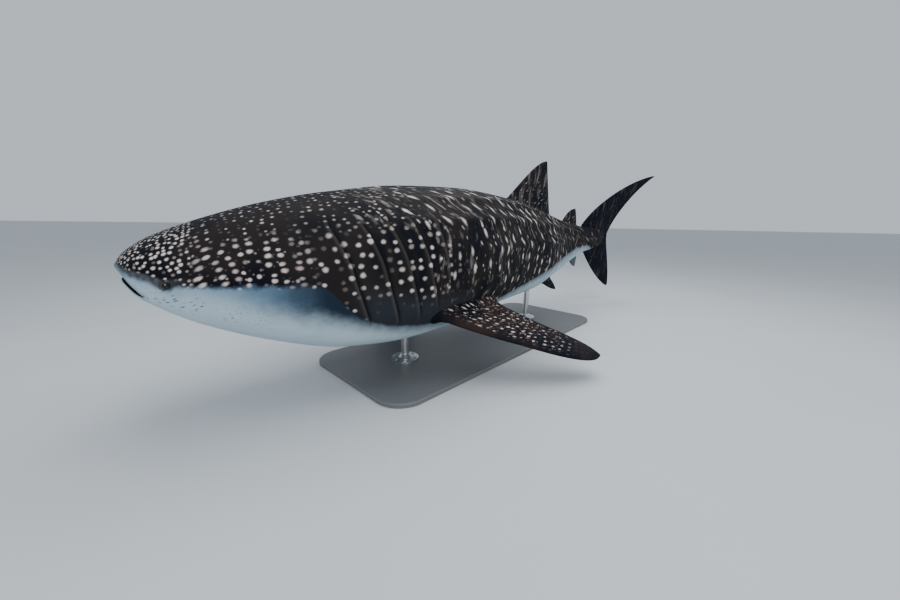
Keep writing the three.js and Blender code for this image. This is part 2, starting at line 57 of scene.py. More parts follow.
# BODY and AXIS_HEIGHT are in metres; stations, arcs and sizes across are shares of BODY; SECTION is the
# power that rounds the cross section, 2 being an ellipse
BODY = 7.0
AXIS_HEIGHT = 0.95
SECTION = 2.3
SHOULDER = 0.3
HEAD_TURN = math.radians(16)
NECK_ARC = 0.19
TAIL_TURN = math.radians(-16)
TAIL_ARC_START = 0.62
TAIL_ARC = 0.18
PLATE_STATION = 0.4
TAIL_END = 0.82

# station, top, bottom, half width, level of the widest point, in shares of the body
OUTLINE = np.array([
    (-0.003, 0.0095, 0.0055, 0.0085, 0.0075),
    (0.0, 0.014, 0.0015, 0.0225, 0.0075),
    (0.006, 0.0203, -0.0143, 0.0393, 0.005),
    (0.02, 0.0296, -0.0268, 0.0585, 0.002),
    (0.05, 0.0426, -0.0472, 0.0698, 0.0),
    (0.1, 0.059, -0.0696, 0.08, 0.0),
    (0.16, 0.0725, -0.0875, 0.087, 0.0),
    (0.22, 0.0805, -0.092, 0.0945, 0.0),
    (0.28, 0.085, -0.088, 0.0945, 0.0),
    (0.35, 0.0875, -0.0805, 0.0855, 0.0),
    (0.42, 0.084, -0.0765, 0.0745, 0.001),
    (0.5, 0.0735, -0.0715, 0.0672, 0.003),
    (0.58, 0.061, -0.057, 0.05, 0.006),
    (0.66, 0.049, -0.036, 0.0372, 0.01),
    (0.73, 0.041, -0.0155, 0.027, 0.013),
    (0.77, 0.038, -0.009, 0.021, 0.015),
    (0.82, 0.031, 0.004, 0.0016, 0.0165),
])

# ridges: degrees from the top, first station, last station, height; then the keel on the tail stock
RIDGES = [
    (0, 0.16, 0.46, 0.0022),
    (37.5, 0.19, 0.64, 0.0024),
    (60, 0.18, 0.7, 0.0027),
    (82.5, 0.24, 0.74, 0.0027),
]
RIDGE_WIDTH, RIDGE_IN, RIDGE_OUT = 7, 0.07, 0.08
KEEL_ANGLE, KEEL_WIDTH, KEEL_HEIGHT = 90, 12, 0.008
KEEL_FROM, KEEL_FULL, KEEL_FADE = 0.66, 0.76, 0.77

# gills: the slits' stations and ends in degrees from the top, how far they slant over how many degrees
# of the side, and the flap that rises before each slit and the groove behind it
GILL_STATIONS = [0.158, 0.183, 0.204, 0.224, 0.243]
GILL_TOP = 56
GILL_BOTTOMS = [122, 122, 119, 112, 104]
GILL_END_OUTER, GILL_END_INNER = 8, 10
GILLS_FROM, GILLS_TO = 0.108, 0.26
GILL_SLANT, SLANT_IN, SLANT_OUT, SLANT_SPAN = 0.014, 0.14, 0.228, 30
GILL_LIFT, GILL_DEPTH = 0.0013, 0.0012
GILL_BEFORE, GILL_AFTER = 0.013, 0.0045

# station and level of the upper lip, then station and how far below it the lower lip lies
MOUTH_LINE = np.array([
    (-0.01, 0.0076), (0.003, 0.0068), (0.0065, 0.0046), (0.0103, 0.0007),
    (0.0139, -0.0038), (0.0172, -0.0078), (0.0203, -0.0124),
])
MOUTH_OPEN = np.array([
    (-0.01, 0.0066), (0.0, 0.0078), (0.004, 0.0086), (0.009, 0.0091), (0.0125, 0.0085), (0.0155, 0.0068),
    (0.018, 0.0042), (0.0195, 0.0018), (0.0203, 0.0),
])
# stations and levels are shares of the body; depths, rises, radii, lengths and widths are in metres
MOUTH_DEPTH = 0.075
LIP_RISE, LIP_FROM_EDGE, LIP_WIDTH = 0.007, 0.007, 0.011
LOWER_LIP_SHARE = 0.35
EYE_STATION, EYE_LEVEL = 0.0355, -0.0035
EYE_RADIUS, EYE_PROUD = 0.027, 0.009
LID_RISE, LID_WIDTH, LID_SHADE_WIDTH = 0.006, 0.0065, 0.006
SOCKET_DEPTH, SOCKET_FLOOR, SOCKET_RIM = 0.022, 0.013, 0.022
SPIRACLE_STATION, SPIRACLE_RADIUS, SPIRACLE_DEPTH = 0.054, 0.012, 0.02
NOSTRIL_STATION, NOSTRIL_LEVEL = 0.0065, 0.0085
NOSTRIL_LENGTH, NOSTRIL_HEIGHT, NOSTRIL_DEPTH = 0.024, 0.008, 0.016


def smooth(value, low, high):
    """0 below low, 1 above high, smooth between."""
    t = np.clip((value - low) / (high - low), 0, 1)
    return t * t * (3 - 2 * t)


def outline(column, station):
    """A column of the outline table at any station, on a curve that never overshoots its knots."""
    knots, values = OUTLINE[:, 0], OUTLINE[:, column]
    slope = np.diff(values) / np.diff(knots)
    before, after = slope[:-1], slope[1:]
    rising = before * after > 0
    inner = np.where(rising, 2 * before * after / np.where(rising, before + after, 1), 0)
    tangent = np.concatenate([slope[:1], inner, slope[-1:]])
    s = np.clip(station, knots[0], knots[-1])
    i = np.clip(np.searchsorted(knots, s, side="right") - 1, 0, len(knots) - 2)
    width = knots[i + 1] - knots[i]
    t = (s - knots[i]) / width
    ease = t * t * (3 - 2 * t)
    curved = values[i] * (1 - ease) + values[i + 1] * ease
    return curved + tangent[i] * width * t * (1 - t) ** 2 - tangent[i + 1] * width * t * t * (1 - t)


def walk(distance, run, arc, turn):
    """Forward, aside and heading after a straight run, an arc through a turn, and straight on again."""
    on_arc = np.clip(distance - run, 0, arc)
    past = np.maximum(distance - run - arc, 0)
    angle = turn * on_arc / arc
    forward = np.minimum(distance, run) + np.sin(angle) * arc / turn + np.cos(angle) * past
    aside = (1 - np.cos(angle)) * arc / turn + np.sin(angle) * past
    return forward, aside, angle


def spine(station):
    trunk_run = TAIL_ARC_START - SHOULDER
    ahead, ahead_aside, ahead_angle = walk(SHOULDER - station, 0, NECK_ARC, HEAD_TURN)
    behind, behind_aside, behind_angle = walk(station - SHOULDER, trunk_run, TAIL_ARC, TAIL_TURN)
    front = station < SHOULDER
    x = np.where(front, SHOULDER - ahead, SHOULDER + behind)
    return x, np.where(front, ahead_aside, behind_aside), np.where(front, -ahead_angle, behind_angle)


def place(station, across, up):
    """A place on the straight animal, in shares of its length, as a point of the bent one in metres."""
    station, across, up = np.broadcast_arrays(station, across, up)
    x, y, heading = spine(station)
    centre_x, centre_y, _ = spine(np.array(PLATE_STATION))
    return np.stack([
        (x - np.sin(heading) * across - centre_x) * BODY,
        (y + np.cos(heading) * across - centre_y) * BODY,
        up * BODY + AXIS_HEIGHT,
    ], -1)


def relief(station, degrees):
    """How high the ridges and the tail stock's keel stand, degrees being counted from the top."""
    lift = np.zeros(np.broadcast(station, degrees).shape)
    for angle, start, end, height in RIDGES:
        crest = smooth(1 - np.abs(degrees - angle) / RIDGE_WIDTH, 0, 1)
        grown = smooth(station, start, start + RIDGE_IN) * (1 - smooth(station, end - RIDGE_OUT, end))
        lift += height * crest * grown
    side = np.maximum(0, 1 - np.abs(degrees - KEEL_ANGLE) / KEEL_WIDTH)
    grown = smooth(station, KEEL_FROM, KEEL_FULL) * (1 - smooth(station, KEEL_FADE, TAIL_END))
    return lift + KEEL_HEIGHT * side**2 * grown


def gill_fade(index, degrees):
    end = GILL_BOTTOMS[index]
    begun = smooth(degrees, GILL_TOP - GILL_END_OUTER, GILL_TOP + GILL_END_INNER)
    return begun * (1 - smooth(degrees, end - GILL_END_INNER, end + GILL_END_OUTER))


def gill_relief(row, degrees):
    lift = np.zeros(np.broadcast(row, degrees).shape)
    for index, gill in enumerate(GILL_STATIONS):
        past = row - gill
        flap = GILL_LIFT * np.clip(1 + past / GILL_BEFORE, 0, 1) ** 2 * (past < 0)
        groove = GILL_DEPTH * np.clip(1 - past / GILL_AFTER, 0, 1) * (past >= 0)
        lift += gill_fade(index, degrees) * (flap - groove)
    return lift


def skin_place(row, turn):
    """Station, across and up of a point of the skin; turn is 0 at the top and grows round the left side."""
    degrees = np.abs(turn)
    within = smooth(row, GILLS_FROM, SLANT_IN) * (1 - smooth(row, SLANT_OUT, GILLS_TO))
    station = row + GILL_SLANT * within * np.clip((degrees - 90) / SLANT_SPAN, -1, 1)
    cos, sin = np.cos(np.radians(turn)), np.sin(np.radians(turn))
    middle = outline(4, station)
    edge = np.where(cos > 0, outline(1, station), outline(2, station))
    up = middle + np.abs(cos) ** (2 / SECTION) * (edge - middle)
    across = -np.sign(sin) * np.abs(sin) ** (2 / SECTION) * outline(3, station)
    long = np.hypot(across, up - middle)
    rise = (relief(station, degrees) + gill_relief(row, degrees)) / np.where(long == 0, 1, long)
    return station, across * (1 + rise), middle + (up - middle) * (1 + rise)


def on_skin(station, level, sign, inset=0.0):
    """The point of the plain skin at a level, on the left side where sign is -1 and the right where 1."""
    middle = outline(4, station)
    room = np.where(level > middle, outline(1, station) - middle, middle - outline(2, station))
    share = np.minimum(1, np.abs(level - middle) / room)
    reach = outline(3, station) * (1 - share**SECTION) ** (1 / SECTION)
    return place(station, sign * (reach - inset), level)


def mesh_object(name, points, faces):
    mesh = bpy.data.meshes.new(name)
    mesh.from_pydata(np.asarray(points).tolist(), [], faces)
    mesh.validate()
    mesh.shade_smooth()
    piece = bpy.data.objects.new(name, mesh)
    bpy.context.collection.objects.link(piece)
    return piece


def grid_faces(rows, columns):
    """Quads between neighbouring rows of a grid whose rows are loops, and a face over each end."""
    faces = []
    for row in range(rows - 1):
        here, below = row * columns, (row + 1) * columns
        for column in range(columns):
            after = (column + 1) % columns
            faces.append((here + column, below + column, below + after, here + after))
    faces.append(tuple(range(columns)))
    faces.append(tuple(reversed(range((rows - 1) * columns, rows * columns))))
    return faces


def give_value(piece, name, values):
    layer = piece.data.attributes.new(name, "FLOAT", "POINT")
    layer.data.foreach_set("value", np.asarray(values, np.float32).ravel())


def corner_vertices(piece):
    """The vertex under each corner of each face, in the order that a map's values take."""
    vertices = np.zeros(len(piece.data.loops), np.int32)
    piece.data.loops.foreach_get("vertex_index", vertices)
    return vertices


def level_turn(station, level):
    """Degrees from the top at which the skin passes a level."""
    middle = outline(4, station)
    edge = np.where(level > middle, outline(1, station), outline(2, station))
    share = np.clip((level - middle) / (edge - middle), 0, 1) ** (SECTION / 2)
    angle = np.degrees(np.arccos(share))
    return np.where(level > middle, angle, 180 - angle)


def upper_lip_level(station):
    return np.interp(station, MOUTH_LINE[:, 0], MOUTH_LINE[:, 1])


def lower_lip_level(station):
    return upper_lip_level(station) - np.interp(station, MOUTH_OPEN[:, 0], MOUTH_OPEN[:, 1])


# rows lie close together round the mouth, the eye and each gill; each has a station and a share of its
# full size, and the first rows close the flat front of the snout
RING = 192
FLAP_ROWS, FLAP_FROM, FLAP_TO = 10, 0.0127, 0.0012
CREASE_OFFSETS = (-0.0006, -0.0002, 0.0002, 0.0007, 0.0014, 0.0026, 0.0042, 0.006)
rows = [(-0.003, share) for share in (0.12, 0.28, 0.44, 0.6, 0.74, 0.87)]
for start, end, count in [
    (-0.003, 0.0, 26), (0.0, 0.006, 34), (0.006, 0.024, 40), (0.024, 0.044, 26),
    (0.044, GILLS_FROM, 28), (GILLS_FROM, 0.145, 12), (0.252, 0.46, 88), (0.46, TAIL_END, 118),
]:
    rows += [(station, 1.0) for station in np.linspace(start, end, count, endpoint=False)]
for gill in GILL_STATIONS:
    rows += [(station, 1.0) for station in np.linspace(gill - FLAP_FROM, gill - FLAP_TO, FLAP_ROWS)]
    rows += [(gill + offset, 1.0) for offset in CREASE_OFFSETS]
rows.append((TAIL_END, 1.0))
rows = np.array(sorted(rows))
row_station, row_share = rows[:, 0][:, None], rows[:, 1][:, None]

# the columns of the grid follow both lips, five steps apart, to the corner of the mouth, and spread out
# evenly behind it; all of these are degrees from the top but RELAXED_AT, a station
LIP_GAP, LIP_GAP_BEHIND, LOWEST_LIP = 1.5, 6, 165
EVEN_COLUMNS = [0, 90, 99.375, 180]
RELAXED_AT = 0.08
corner = MOUTH_LINE[-1, 0]
lip_station = np.minimum(rows[:, 0], corner)
relax = smooth(rows[:, 0], corner, RELAXED_AT)
upper_turn = level_turn(lip_station, upper_lip_level(lip_station)) * (1 - relax) + 90 * relax
lower_turn = level_turn(lip_station, lower_lip_level(lip_station))
lower_turn = np.clip(lower_turn, upper_turn + LIP_GAP, LOWEST_LIP)
lower_turn = np.where(relax > 0, upper_turn + LIP_GAP + LIP_GAP_BEHIND * relax, lower_turn)
even = 180 - 360 * np.arange(RING) / RING
turns = np.array([
    np.sign(even) * np.interp(np.abs(even), EVEN_COLUMNS, [0, upper, lower, 180])
    for upper, lower in zip(upper_turn, lower_turn)
])
station, across, up = skin_place(row_station + 0 * turns, turns)
middle = outline(4, station)
across, up = across * row_share, middle + (up - middle) * row_share
skin = place(station, across, up)

# the pattern is laid out on the plain body, without ridges or gills: metres back, and metres round from
# the top; its rows run along the body and close up a little where it narrows, and the other way across it
# is worked out square to the rows, from the top of the back down each side
GIRTH, LEAST_GIRTH, CLOSING_UP = 0.8, 0.05, -0.5
SHEAR_MOST, SHEAR_OVER = 0.03, 0.2
CLOSING_STEP = 0.002
plain_middle = outline(4, row_station)
cos, sin = np.cos(np.radians(turns)), np.sin(np.radians(turns))
plain_room = np.where(cos > 0, outline(1, row_station), outline(2, row_station)) - plain_middle
plain_up = plain_middle + np.abs(cos) ** (2 / SECTION) * plain_room * row_share
plain_across = -np.sign(sin) * np.abs(sin) ** (2 / SECTION) * outline(3, row_station) * row_share
plain = place(row_station, plain_across, plain_up)
plain = np.concatenate([plain, plain[:, :1]], axis=1)
top = RING // 2
back_arc = np.cumsum(np.linalg.norm(np.diff(plain, axis=0, prepend=plain[:1]), axis=-1), axis=0)
round_arc = np.cumsum(np.linalg.norm(np.diff(plain, axis=1, prepend=plain[:, :1]), axis=-1), axis=1)
round_arc -= round_arc[:, top:top + 1]
narrow = (np.maximum(round_arc[:, 3 * RING // 4], LEAST_GIRTH) / GIRTH) ** CLOSING_UP
spot_row = round_arc * narrow[:, None]
spot_back = np.zeros(spot_row.shape)
spot_back[:, top] = np.cumsum(np.diff(back_arc[:, top], prepend=0) * narrow)
down_back = back_arc[:, top]
skin_back, skin_round = np.gradient(plain, down_back, axis=0), np.gradient(plain, axis=1)
row_back, row_round = np.gradient(spot_row, down_back, axis=0), np.gradient(spot_row, axis=1)
back_back = np.sum(skin_back * skin_back, -1)
back_round = np.sum(skin_back * skin_round, -1)
round_round = np.sum(skin_round * skin_round, -1)
shear = (back_round * row_round - round_round * row_back) / (back_back * row_round - back_round * row_back)
near_rows = np.exp(-(((down_back[:, None] - down_back) / SHEAR_OVER) ** 2)) * np.gradient(down_back)
shear = near_rows @ np.clip(shear, -SHEAR_MOST, SHEAR_MOST) / near_rows.sum(1)[:, None]
for column in range(top, RING):
    spot_back[:, column + 1] = np.interp(down_back + shear[:, column], down_back, spot_back[:, column])
for column in range(top, 0, -1):
    spot_back[:, column - 1] = np.interp(down_back - shear[:, column], down_back, spot_back[:, column])

# each corner of the hide takes the place of the plain body's skin at its own station
closing = CLOSING_STEP * (1 - row_share)
plain_key = (row_station - closing)[:, 0]
key = np.concatenate([station, station[:, :1]], axis=1) - closing
back_arc, round_arc, spot_back, spot_row = (
    np.stack([np.interp(key[:, c], plain_key, layer[:, c]) for c in range(RING + 1)], axis=1)
    for layer in (back_arc, round_arc, spot_back, spot_row)
)

# which way the skin faces at each corner; the rows that close the snout face straight ahead
along = np.gradient(skin, axis=0)
around = np.roll(skin, -1, axis=1) - np.roll(skin, 1, axis=1)
normal = np.cross(along, around)
normal /= np.maximum(np.linalg.norm(normal, axis=-1, keepdims=True), 1e-9)
outwards = skin - place(station, 0 * across, middle)
normal *= np.sign(np.sum(normal * outwards, -1, keepdims=True).sum())
normal[row_share[:, 0] < 1] = place(-0.01, 0.0, 0.0) - place(0.0, 0.0, 0.0)
normal /= np.linalg.norm(normal, axis=-1, keepdims=True)

# the mouth: between the two lip lines the skin sinks away, and beside them it rolls out into lips
MOUTH_SLOPE_AT, MOUTH_SLOPE = [0.0, 0.004, 0.0085, 0.012, 0.02], [0.0, -0.5, -1.0, -1.25, -1.5]
MOUTH_END, LIP_END = 0.0004, 0.004
MOUTH_WALL, MOUTH_SHADE = (-0.001, 0.005), (-0.003, 0.0)
upper_lip, lower_lip = upper_lip_level(station), lower_lip_level(station)
square_to_lip = BODY / np.sqrt(1 + np.interp(station, MOUTH_SLOPE_AT, MOUTH_SLOPE) ** 2)
above_lip = (up - upper_lip) * square_to_lip
below_lip = (lower_lip - up) * square_to_lip
inside = np.minimum(-above_lip, -below_lip)
near_mouth = 1 - smooth(station, corner - MOUTH_END, corner + MOUTH_END)
mouth = smooth(inside, *MOUTH_WALL) * near_mouth
# the mask of the painted shade that darkens the inside of the mouth
mouth_inner_shade = smooth(inside, *MOUTH_SHADE) * near_mouth
away = np.maximum(above_lip, below_lip)
lip = np.exp(-(((away - LIP_FROM_EDGE) / LIP_WIDTH) ** 2)) * (away > -0.002)
lip *= np.where(below_lip > above_lip, LOWER_LIP_SHARE, 1.0)
lip *= 1 - smooth(station, corner, corner + LIP_END)
press = LIP_RISE * lip * (1 - mouth) - MOUTH_DEPTH * mouth

# the eyelids, the spiracle behind each eye and the nostrils in the edge of the upper lip, with the masks of
# the painted shade round each eye and in the spiracles and nostrils
lid_shade = np.zeros(station.shape)
pit_shade = np.zeros(station.shape)
for sign in (-1, 1):
    from_eye = np.linalg.norm(skin - on_skin(EYE_STATION, EYE_LEVEL, sign), axis=-1)
    lid_shade += np.exp(-(((from_eye - EYE_RADIUS) / LID_SHADE_WIDTH) ** 2))
    press += LID_RISE * np.exp(-(((from_eye - EYE_RADIUS) / LID_WIDTH) ** 2))
    press -= SOCKET_DEPTH * (1 - smooth(from_eye, SOCKET_FLOOR, SOCKET_RIM))
    from_spiracle = np.linalg.norm(skin - on_skin(SPIRACLE_STATION, EYE_LEVEL, sign), axis=-1)
    spiracle = 1 - smooth(from_spiracle / SPIRACLE_RADIUS, 0.2, 1.3)
    offset = skin - on_skin(NOSTRIL_STATION, NOSTRIL_LEVEL, sign)
    from_nostril = np.hypot(
        np.hypot(offset[..., 0], offset[..., 1]) / NOSTRIL_LENGTH, offset[..., 2] / NOSTRIL_HEIGHT)
    nostril = 1 - smooth(from_nostril, 0.5, 1.1)
    press -= SPIRACLE_DEPTH * spiracle + NOSTRIL_DEPTH * nostril
    # the spiracles and nostrils are darkened with painted shade
    pit_shade = np.maximum(pit_shade, np.maximum(spiracle, nostril))
skin = skin + normal * press[..., None]

# where the dark back ends and where the slate-blue flank has faded to white, in degrees from the top
DARK_TO = np.array([
    (-0.003, 88), (0.0106, 90.5), (0.018, 91), (0.0236, 93.5), (0.029, 95.5), (0.0345, 98), (0.041, 96.5),
    (0.053, 94.5), (0.128, 94.2), (0.1346, 96), (0.139, 100), (0.1433, 106), (0.149, 113), (0.157, 118),
    (0.172, 123), (0.2, 127), (0.228, 130), (0.351, 129), (0.411, 124), (0.44, 120), (0.469, 116),
    (0.502, 111), (0.557, 107), (0.606, 104), (0.65, 102.5), (0.7, 103), (0.73, 112), (0.752, 135),
    (0.77, 180), (0.82, 180),
])
SLATE_TO = np.array([
    (-0.003, 89), (0.03, 97), (0.058, 100), (0.08, 105), (0.112, 114), (0.152, 124), (0.2, 132), (0.254, 138),
    (0.32, 138), (0.411, 128), (0.469, 121), (0.502, 116), (0.557, 112), (0.65, 107), (0.7, 108), (0.73, 118),
    (0.752, 142), (0.77, 180), (0.82, 180),
])
degrees = np.abs(turns)
across_and_up = outline(1, station) - outline(2, station) + 2 * outline(3, station)
arc_of_degree = BODY * across_and_up * math.pi / 4 / 180
dark_edge = (np.interp(row_station, DARK_TO[:, 0], DARK_TO[:, 1]) - degrees) * arc_of_degree
slate_edge = (np.interp(row_station, SLATE_TO[:, 0], SLATE_TO[:, 1]) - degrees) * arc_of_degree

# painted shade in the crease of each gill slit, and a painted highlight along the raised edge of the flap
# before it
CREASE_IN, CREASE_OUT = (-0.0005, 0.0002), (0.001, 0.0035)
FLAP_EDGE_AT, FLAP_EDGE_WIDTH = -0.0016, 0.001
crease_shade = np.zeros(station.shape)
gill_edge_highlight = np.zeros(station.shape)
for index, gill in enumerate(GILL_STATIONS):
    past, fade = row_station - gill, gill_fade(index, degrees)
    crease_shade += fade * smooth(past, *CREASE_IN) * (1 - smooth(past, *CREASE_OUT))
    gill_edge_highlight += fade * np.exp(-(((past - FLAP_EDGE_AT) / FLAP_EDGE_WIDTH) ** 2))

hide = mesh_object("hide", skin.reshape(-1, 3), grid_faces(len(rows), RING))
for name, values in {
    "dark_edge": dark_edge, "slate_edge": slate_edge, "mouth_inner_shade": mouth_inner_shade, "lip": lip, "lid_shade": lid_shade,
    "pit_shade": pit_shade, "gill_crease_shade": crease_shade, "gill_edge_highlight": gill_edge_highlight, "back": station * BODY,
    "turn": degrees / 180, "spot_back": spot_back[:, :RING], "spot_row": spot_row[:, :RING],
}.items():
    give_value(hide, name, values)

# the map is metres back along the skin and metres round it from the top; its seam is under the belly
uv_layer = hide.data.uv_layers.new(name="hide_map")
loop_row, loop_column = np.divmod(corner_vertices(hide), RING)
wraps = np.zeros(len(loop_row), bool)
for polygon in hide.data.polygons:
    if polygon.loop_total == 4:
        span = loop_column[polygon.loop_start:polygon.loop_start + 4]
        wraps[polygon.loop_start:polygon.loop_start + 4] = (span.max() - span.min() > 2) & (span == 0)
loop_column = np.where(wraps, RING, loop_column)
uv = np.stack([back_arc[loop_row, loop_column], round_arc[loop_row, loop_column]], -1)
uv_layer.data.foreach_set("uv", uv.astype(np.float32).ravel())

BACK_COLOUR = (0.0038, 0.0050, 0.0090, 1)
BROWN_COLOUR = (0.0160, 0.0134, 0.0136, 1)
OLIVE_COLOUR = (0.0210, 0.0180, 0.0140, 1)
PLAIN_COLOUR = (0.0250, 0.0300, 0.0385, 1)
# painted highlight along the raised edge of each gill flap
FLAP_EDGE_HIGHLIGHT_COLOUR = (0.12, 0.105, 0.095, 1)
SPOT_COLOUR = (0.63, 0.54, 0.51, 1)
GREY_SPOT_COLOUR = (0.51, 0.48, 0.49, 1)
DIM_SPOT_COLOUR = (0.16, 0.14, 0.13, 1)
PINK_COLOUR = (0.60, 0.30, 0.33, 1)
SLATE_COLOUR = (0.125, 0.21, 0.30, 1)
DEEP_SLATE_COLOUR = (0.013, 0.022, 0.037, 1)
SNOUT_EDGE_COLOUR = (0.085, 0.094, 0.112, 1)
SNOUT_SHADE_COLOUR = (0.034, 0.037, 0.044, 1)
BELLY_COLOUR = (0.42, 0.53, 0.60, 1)
CLOUD_COLOUR = (0.50, 0.60, 0.66, 1)
LIP_COLOUR = (0.19, 0.27, 0.33, 1)
# painted shade in a ring round each eye
LID_SHADE_COLOUR = (0.020, 0.024, 0.032, 1)
# painted shade inside the mouth, the gill creases, the spiracles and the nostrils
HOLLOW_SHADE_COLOUR = (0.004, 0.005, 0.008, 1)
HIDE_GLOSS = {"Specular IOR Level": 0.04}

# metres behind the snout's front over which each zone of the pattern comes in or goes out
SNOUT_OUT = (0.39, 0.32)
CHEEK_IN, CHEEK_OUT = (0.32, 0.40), (0.98, 0.74)
GILLS_IN, GILLS_OUT = (0.74, 0.92), (1.95, 1.6)
HIGH_HEAD_OUT = (1.75, 1.3)
PLAIN_IN, PLAIN_OUT = (1.05, 1.25), (2.1, 1.75)
SPECKLE_IN, SPECKLE_OUT = (0.06, 0.16), (0.8, 0.5)

# each kind of spot: the cell that holds one and its radius, back and round in metres, then how far it
# strays from its row, how many are bright, and a seed
FRECKLES = ((0.0265, 0.0300), (0.0088, 0.0098), 0.65, 1.0, 1)
CHEEK_OVALS = ((0.074, 0.046), (0.0182, 0.0120), 0.5, 1.05, 2)
DOTS_BETWEEN = ((0.052, 0.041), (0.0085, 0.0070), 0.9, 0.25, 3)
SMALL_ROWS = ((0.050, 0.042), (0.0112, 0.0088), 0.65, 0.7, 4)
GILL_ROUNDS = ((0.066, 0.062), (0.0155, 0.0150), 0.6, 0.85, 5)
STREAKS = ((0.072, 0.42), (0.0105, 0.17), 0.95, 0.5, 6)
TALL_SPOTS = ((0.165, 0.120), (0.0165, 0.038), 0.5, 0.8, 7)
LITTLE_SPOTS = ((0.078, 0.066), (0.0088, 0.0165), 0.8, 0.45, 8)
SPECKLES = ((0.034, 0.026), (0.0085, 0.0048), 0.9, 0.7, 9)
BAR_SPACING = 0.095


class Finish:
    """Builds one material's nodes; each method adds a node and returns the socket that it makes."""

    def __init__(self, name):
        self.material = bpy.data.materials.new(name)
        self.material.use_nodes = True
        self.tree = self.material.node_tree
        self.shader = next(node for node in self.tree.nodes if node.type == "BSDF_PRINCIPLED")

    def set(self, socket, value):
        if isinstance(value, bpy.types.NodeSocket):
            self.tree.links.new(value, socket)
        else:
            socket.default_value = value

    def node(self, kind, inputs=(), **settings):
        """A new node; its inputs, by name or number, are linked to a socket or set to a value."""
        made = self.tree.nodes.new(kind)
        for name, value in settings.items():
            setattr(made, name, value)
        for key, value in dict(inputs).items():
            self.set(made.inputs[key], value)
        return made

    def maths(self, operation, *values):
        return self.node("ShaderNodeMath", enumerate(values), operation=operation).outputs[0]

    def times(self, value, *others):
        for other in others:
            value = self.maths("MULTIPLY", value, other)
        return value

    def most(self, value, *others):
        for other in others:
            value = self.maths("MAXIMUM", value, other)
        return value

    def scaled(self, value, factor, offset):
        return self.maths("MULTIPLY_ADD", value, factor, offset)

    def vector(self, operation, *values):
        made = self.node("ShaderNodeVectorMath", enumerate(values), operation=operation)
        return made.outputs["Value" if operation == "LENGTH" else "Vector"]

    def stretched(self, vector, x, y, z=1.0):
        return self.vector("MULTIPLY", vector, (x, y, z))

    def step(self, value, low, high):
        """0 below low, 1 above high, smooth between; with low over high it falls instead."""
        return self.node("ShaderNodeMapRange", {
            "Value": value, "From Min": min(low, high), "From Max": max(low, high),
            "To Min": float(low > high), "To Max": float(low <= high),
        }, interpolation_type="SMOOTHSTEP").outputs["Result"]

    def mix(self, share, first, second):
        made = self.node("ShaderNodeMix", {"Factor": share, 6: first, 7: second}, data_type="RGBA")
        return made.outputs[2]

    def noise(self, vector, scale, detail=3.0, roughness=0.55):
        return self.node("ShaderNodeTexNoise", {
            "Vector": vector, "Scale": scale, "Detail": detail, "Roughness": roughness,
        }).outputs["Fac"]

    def value(self, name):
        return self.node("ShaderNodeAttribute", attribute_name=name).outputs["Fac"]

    def map(self, name):
        return self.node("ShaderNodeUVMap", uv_map=name).outputs["UV"]

    def object_place(self):
        return self.node("ShaderNodeTexCoord").outputs["Object"]

    def parts(self, vector):
        return self.node("ShaderNodeSeparateXYZ", {0: vector}).outputs

    def joined(self, x, y):
        return self.node("ShaderNodeCombineXYZ", {"X": x, "Y": y}).outputs[0]

    def spots(self, vector, cell, radius, scatter, keep, seed):
        """Soft oval spots, one to a cell, from 0 to 1; keep is the share of cells whose spot is bright."""
        moved = self.vector("ADD", vector, (seed * 3.17, seed * 1.73, 0))
        scaled = self.vector("DIVIDE", moved, (cell[0], cell[1], 1))
        cells = self.node("ShaderNodeTexVoronoi", {
            "Vector": scaled, "Scale": 1.0, "Randomness": scatter,
        }, voronoi_dimensions="2D", feature="F1")
        gap = self.vector("SUBTRACT", scaled, cells.outputs["Position"])
        far = self.vector("LENGTH", self.stretched(gap, cell[0] / radius[0], cell[1] / radius[1], 0))
        ragged = self.maths("ADD", far, self.scaled(self.noise(vector, 45, 2), 0.8, -0.4))
        chance = self.parts(cells.outputs["Color"])
        grown = self.maths("DIVIDE", ragged, self.scaled(chance[1], 0.4, 0.75))
        bright = self.step(chance[0], keep, keep - 0.35)
        return self.times(self.step(grown, 1.4, 0.3), self.scaled(bright, 0.78, 0.22))

    def surface(self, colour, roughness, plain):
        """Colour and roughness may be sockets; plain holds values that are the same all over."""
        self.set(self.shader.inputs["Base Color"], colour)
        self.set(self.shader.inputs["Roughness"], roughness)
        for name, value in plain.items():
            self.shader.inputs[name].default_value = value

    def bump(self, height, strength, distance):
        made = self.node("ShaderNodeBump", {"Height": height, "Strength": strength, "Distance": distance})
        self.set(self.shader.inputs["Normal"], made.outputs["Normal"])


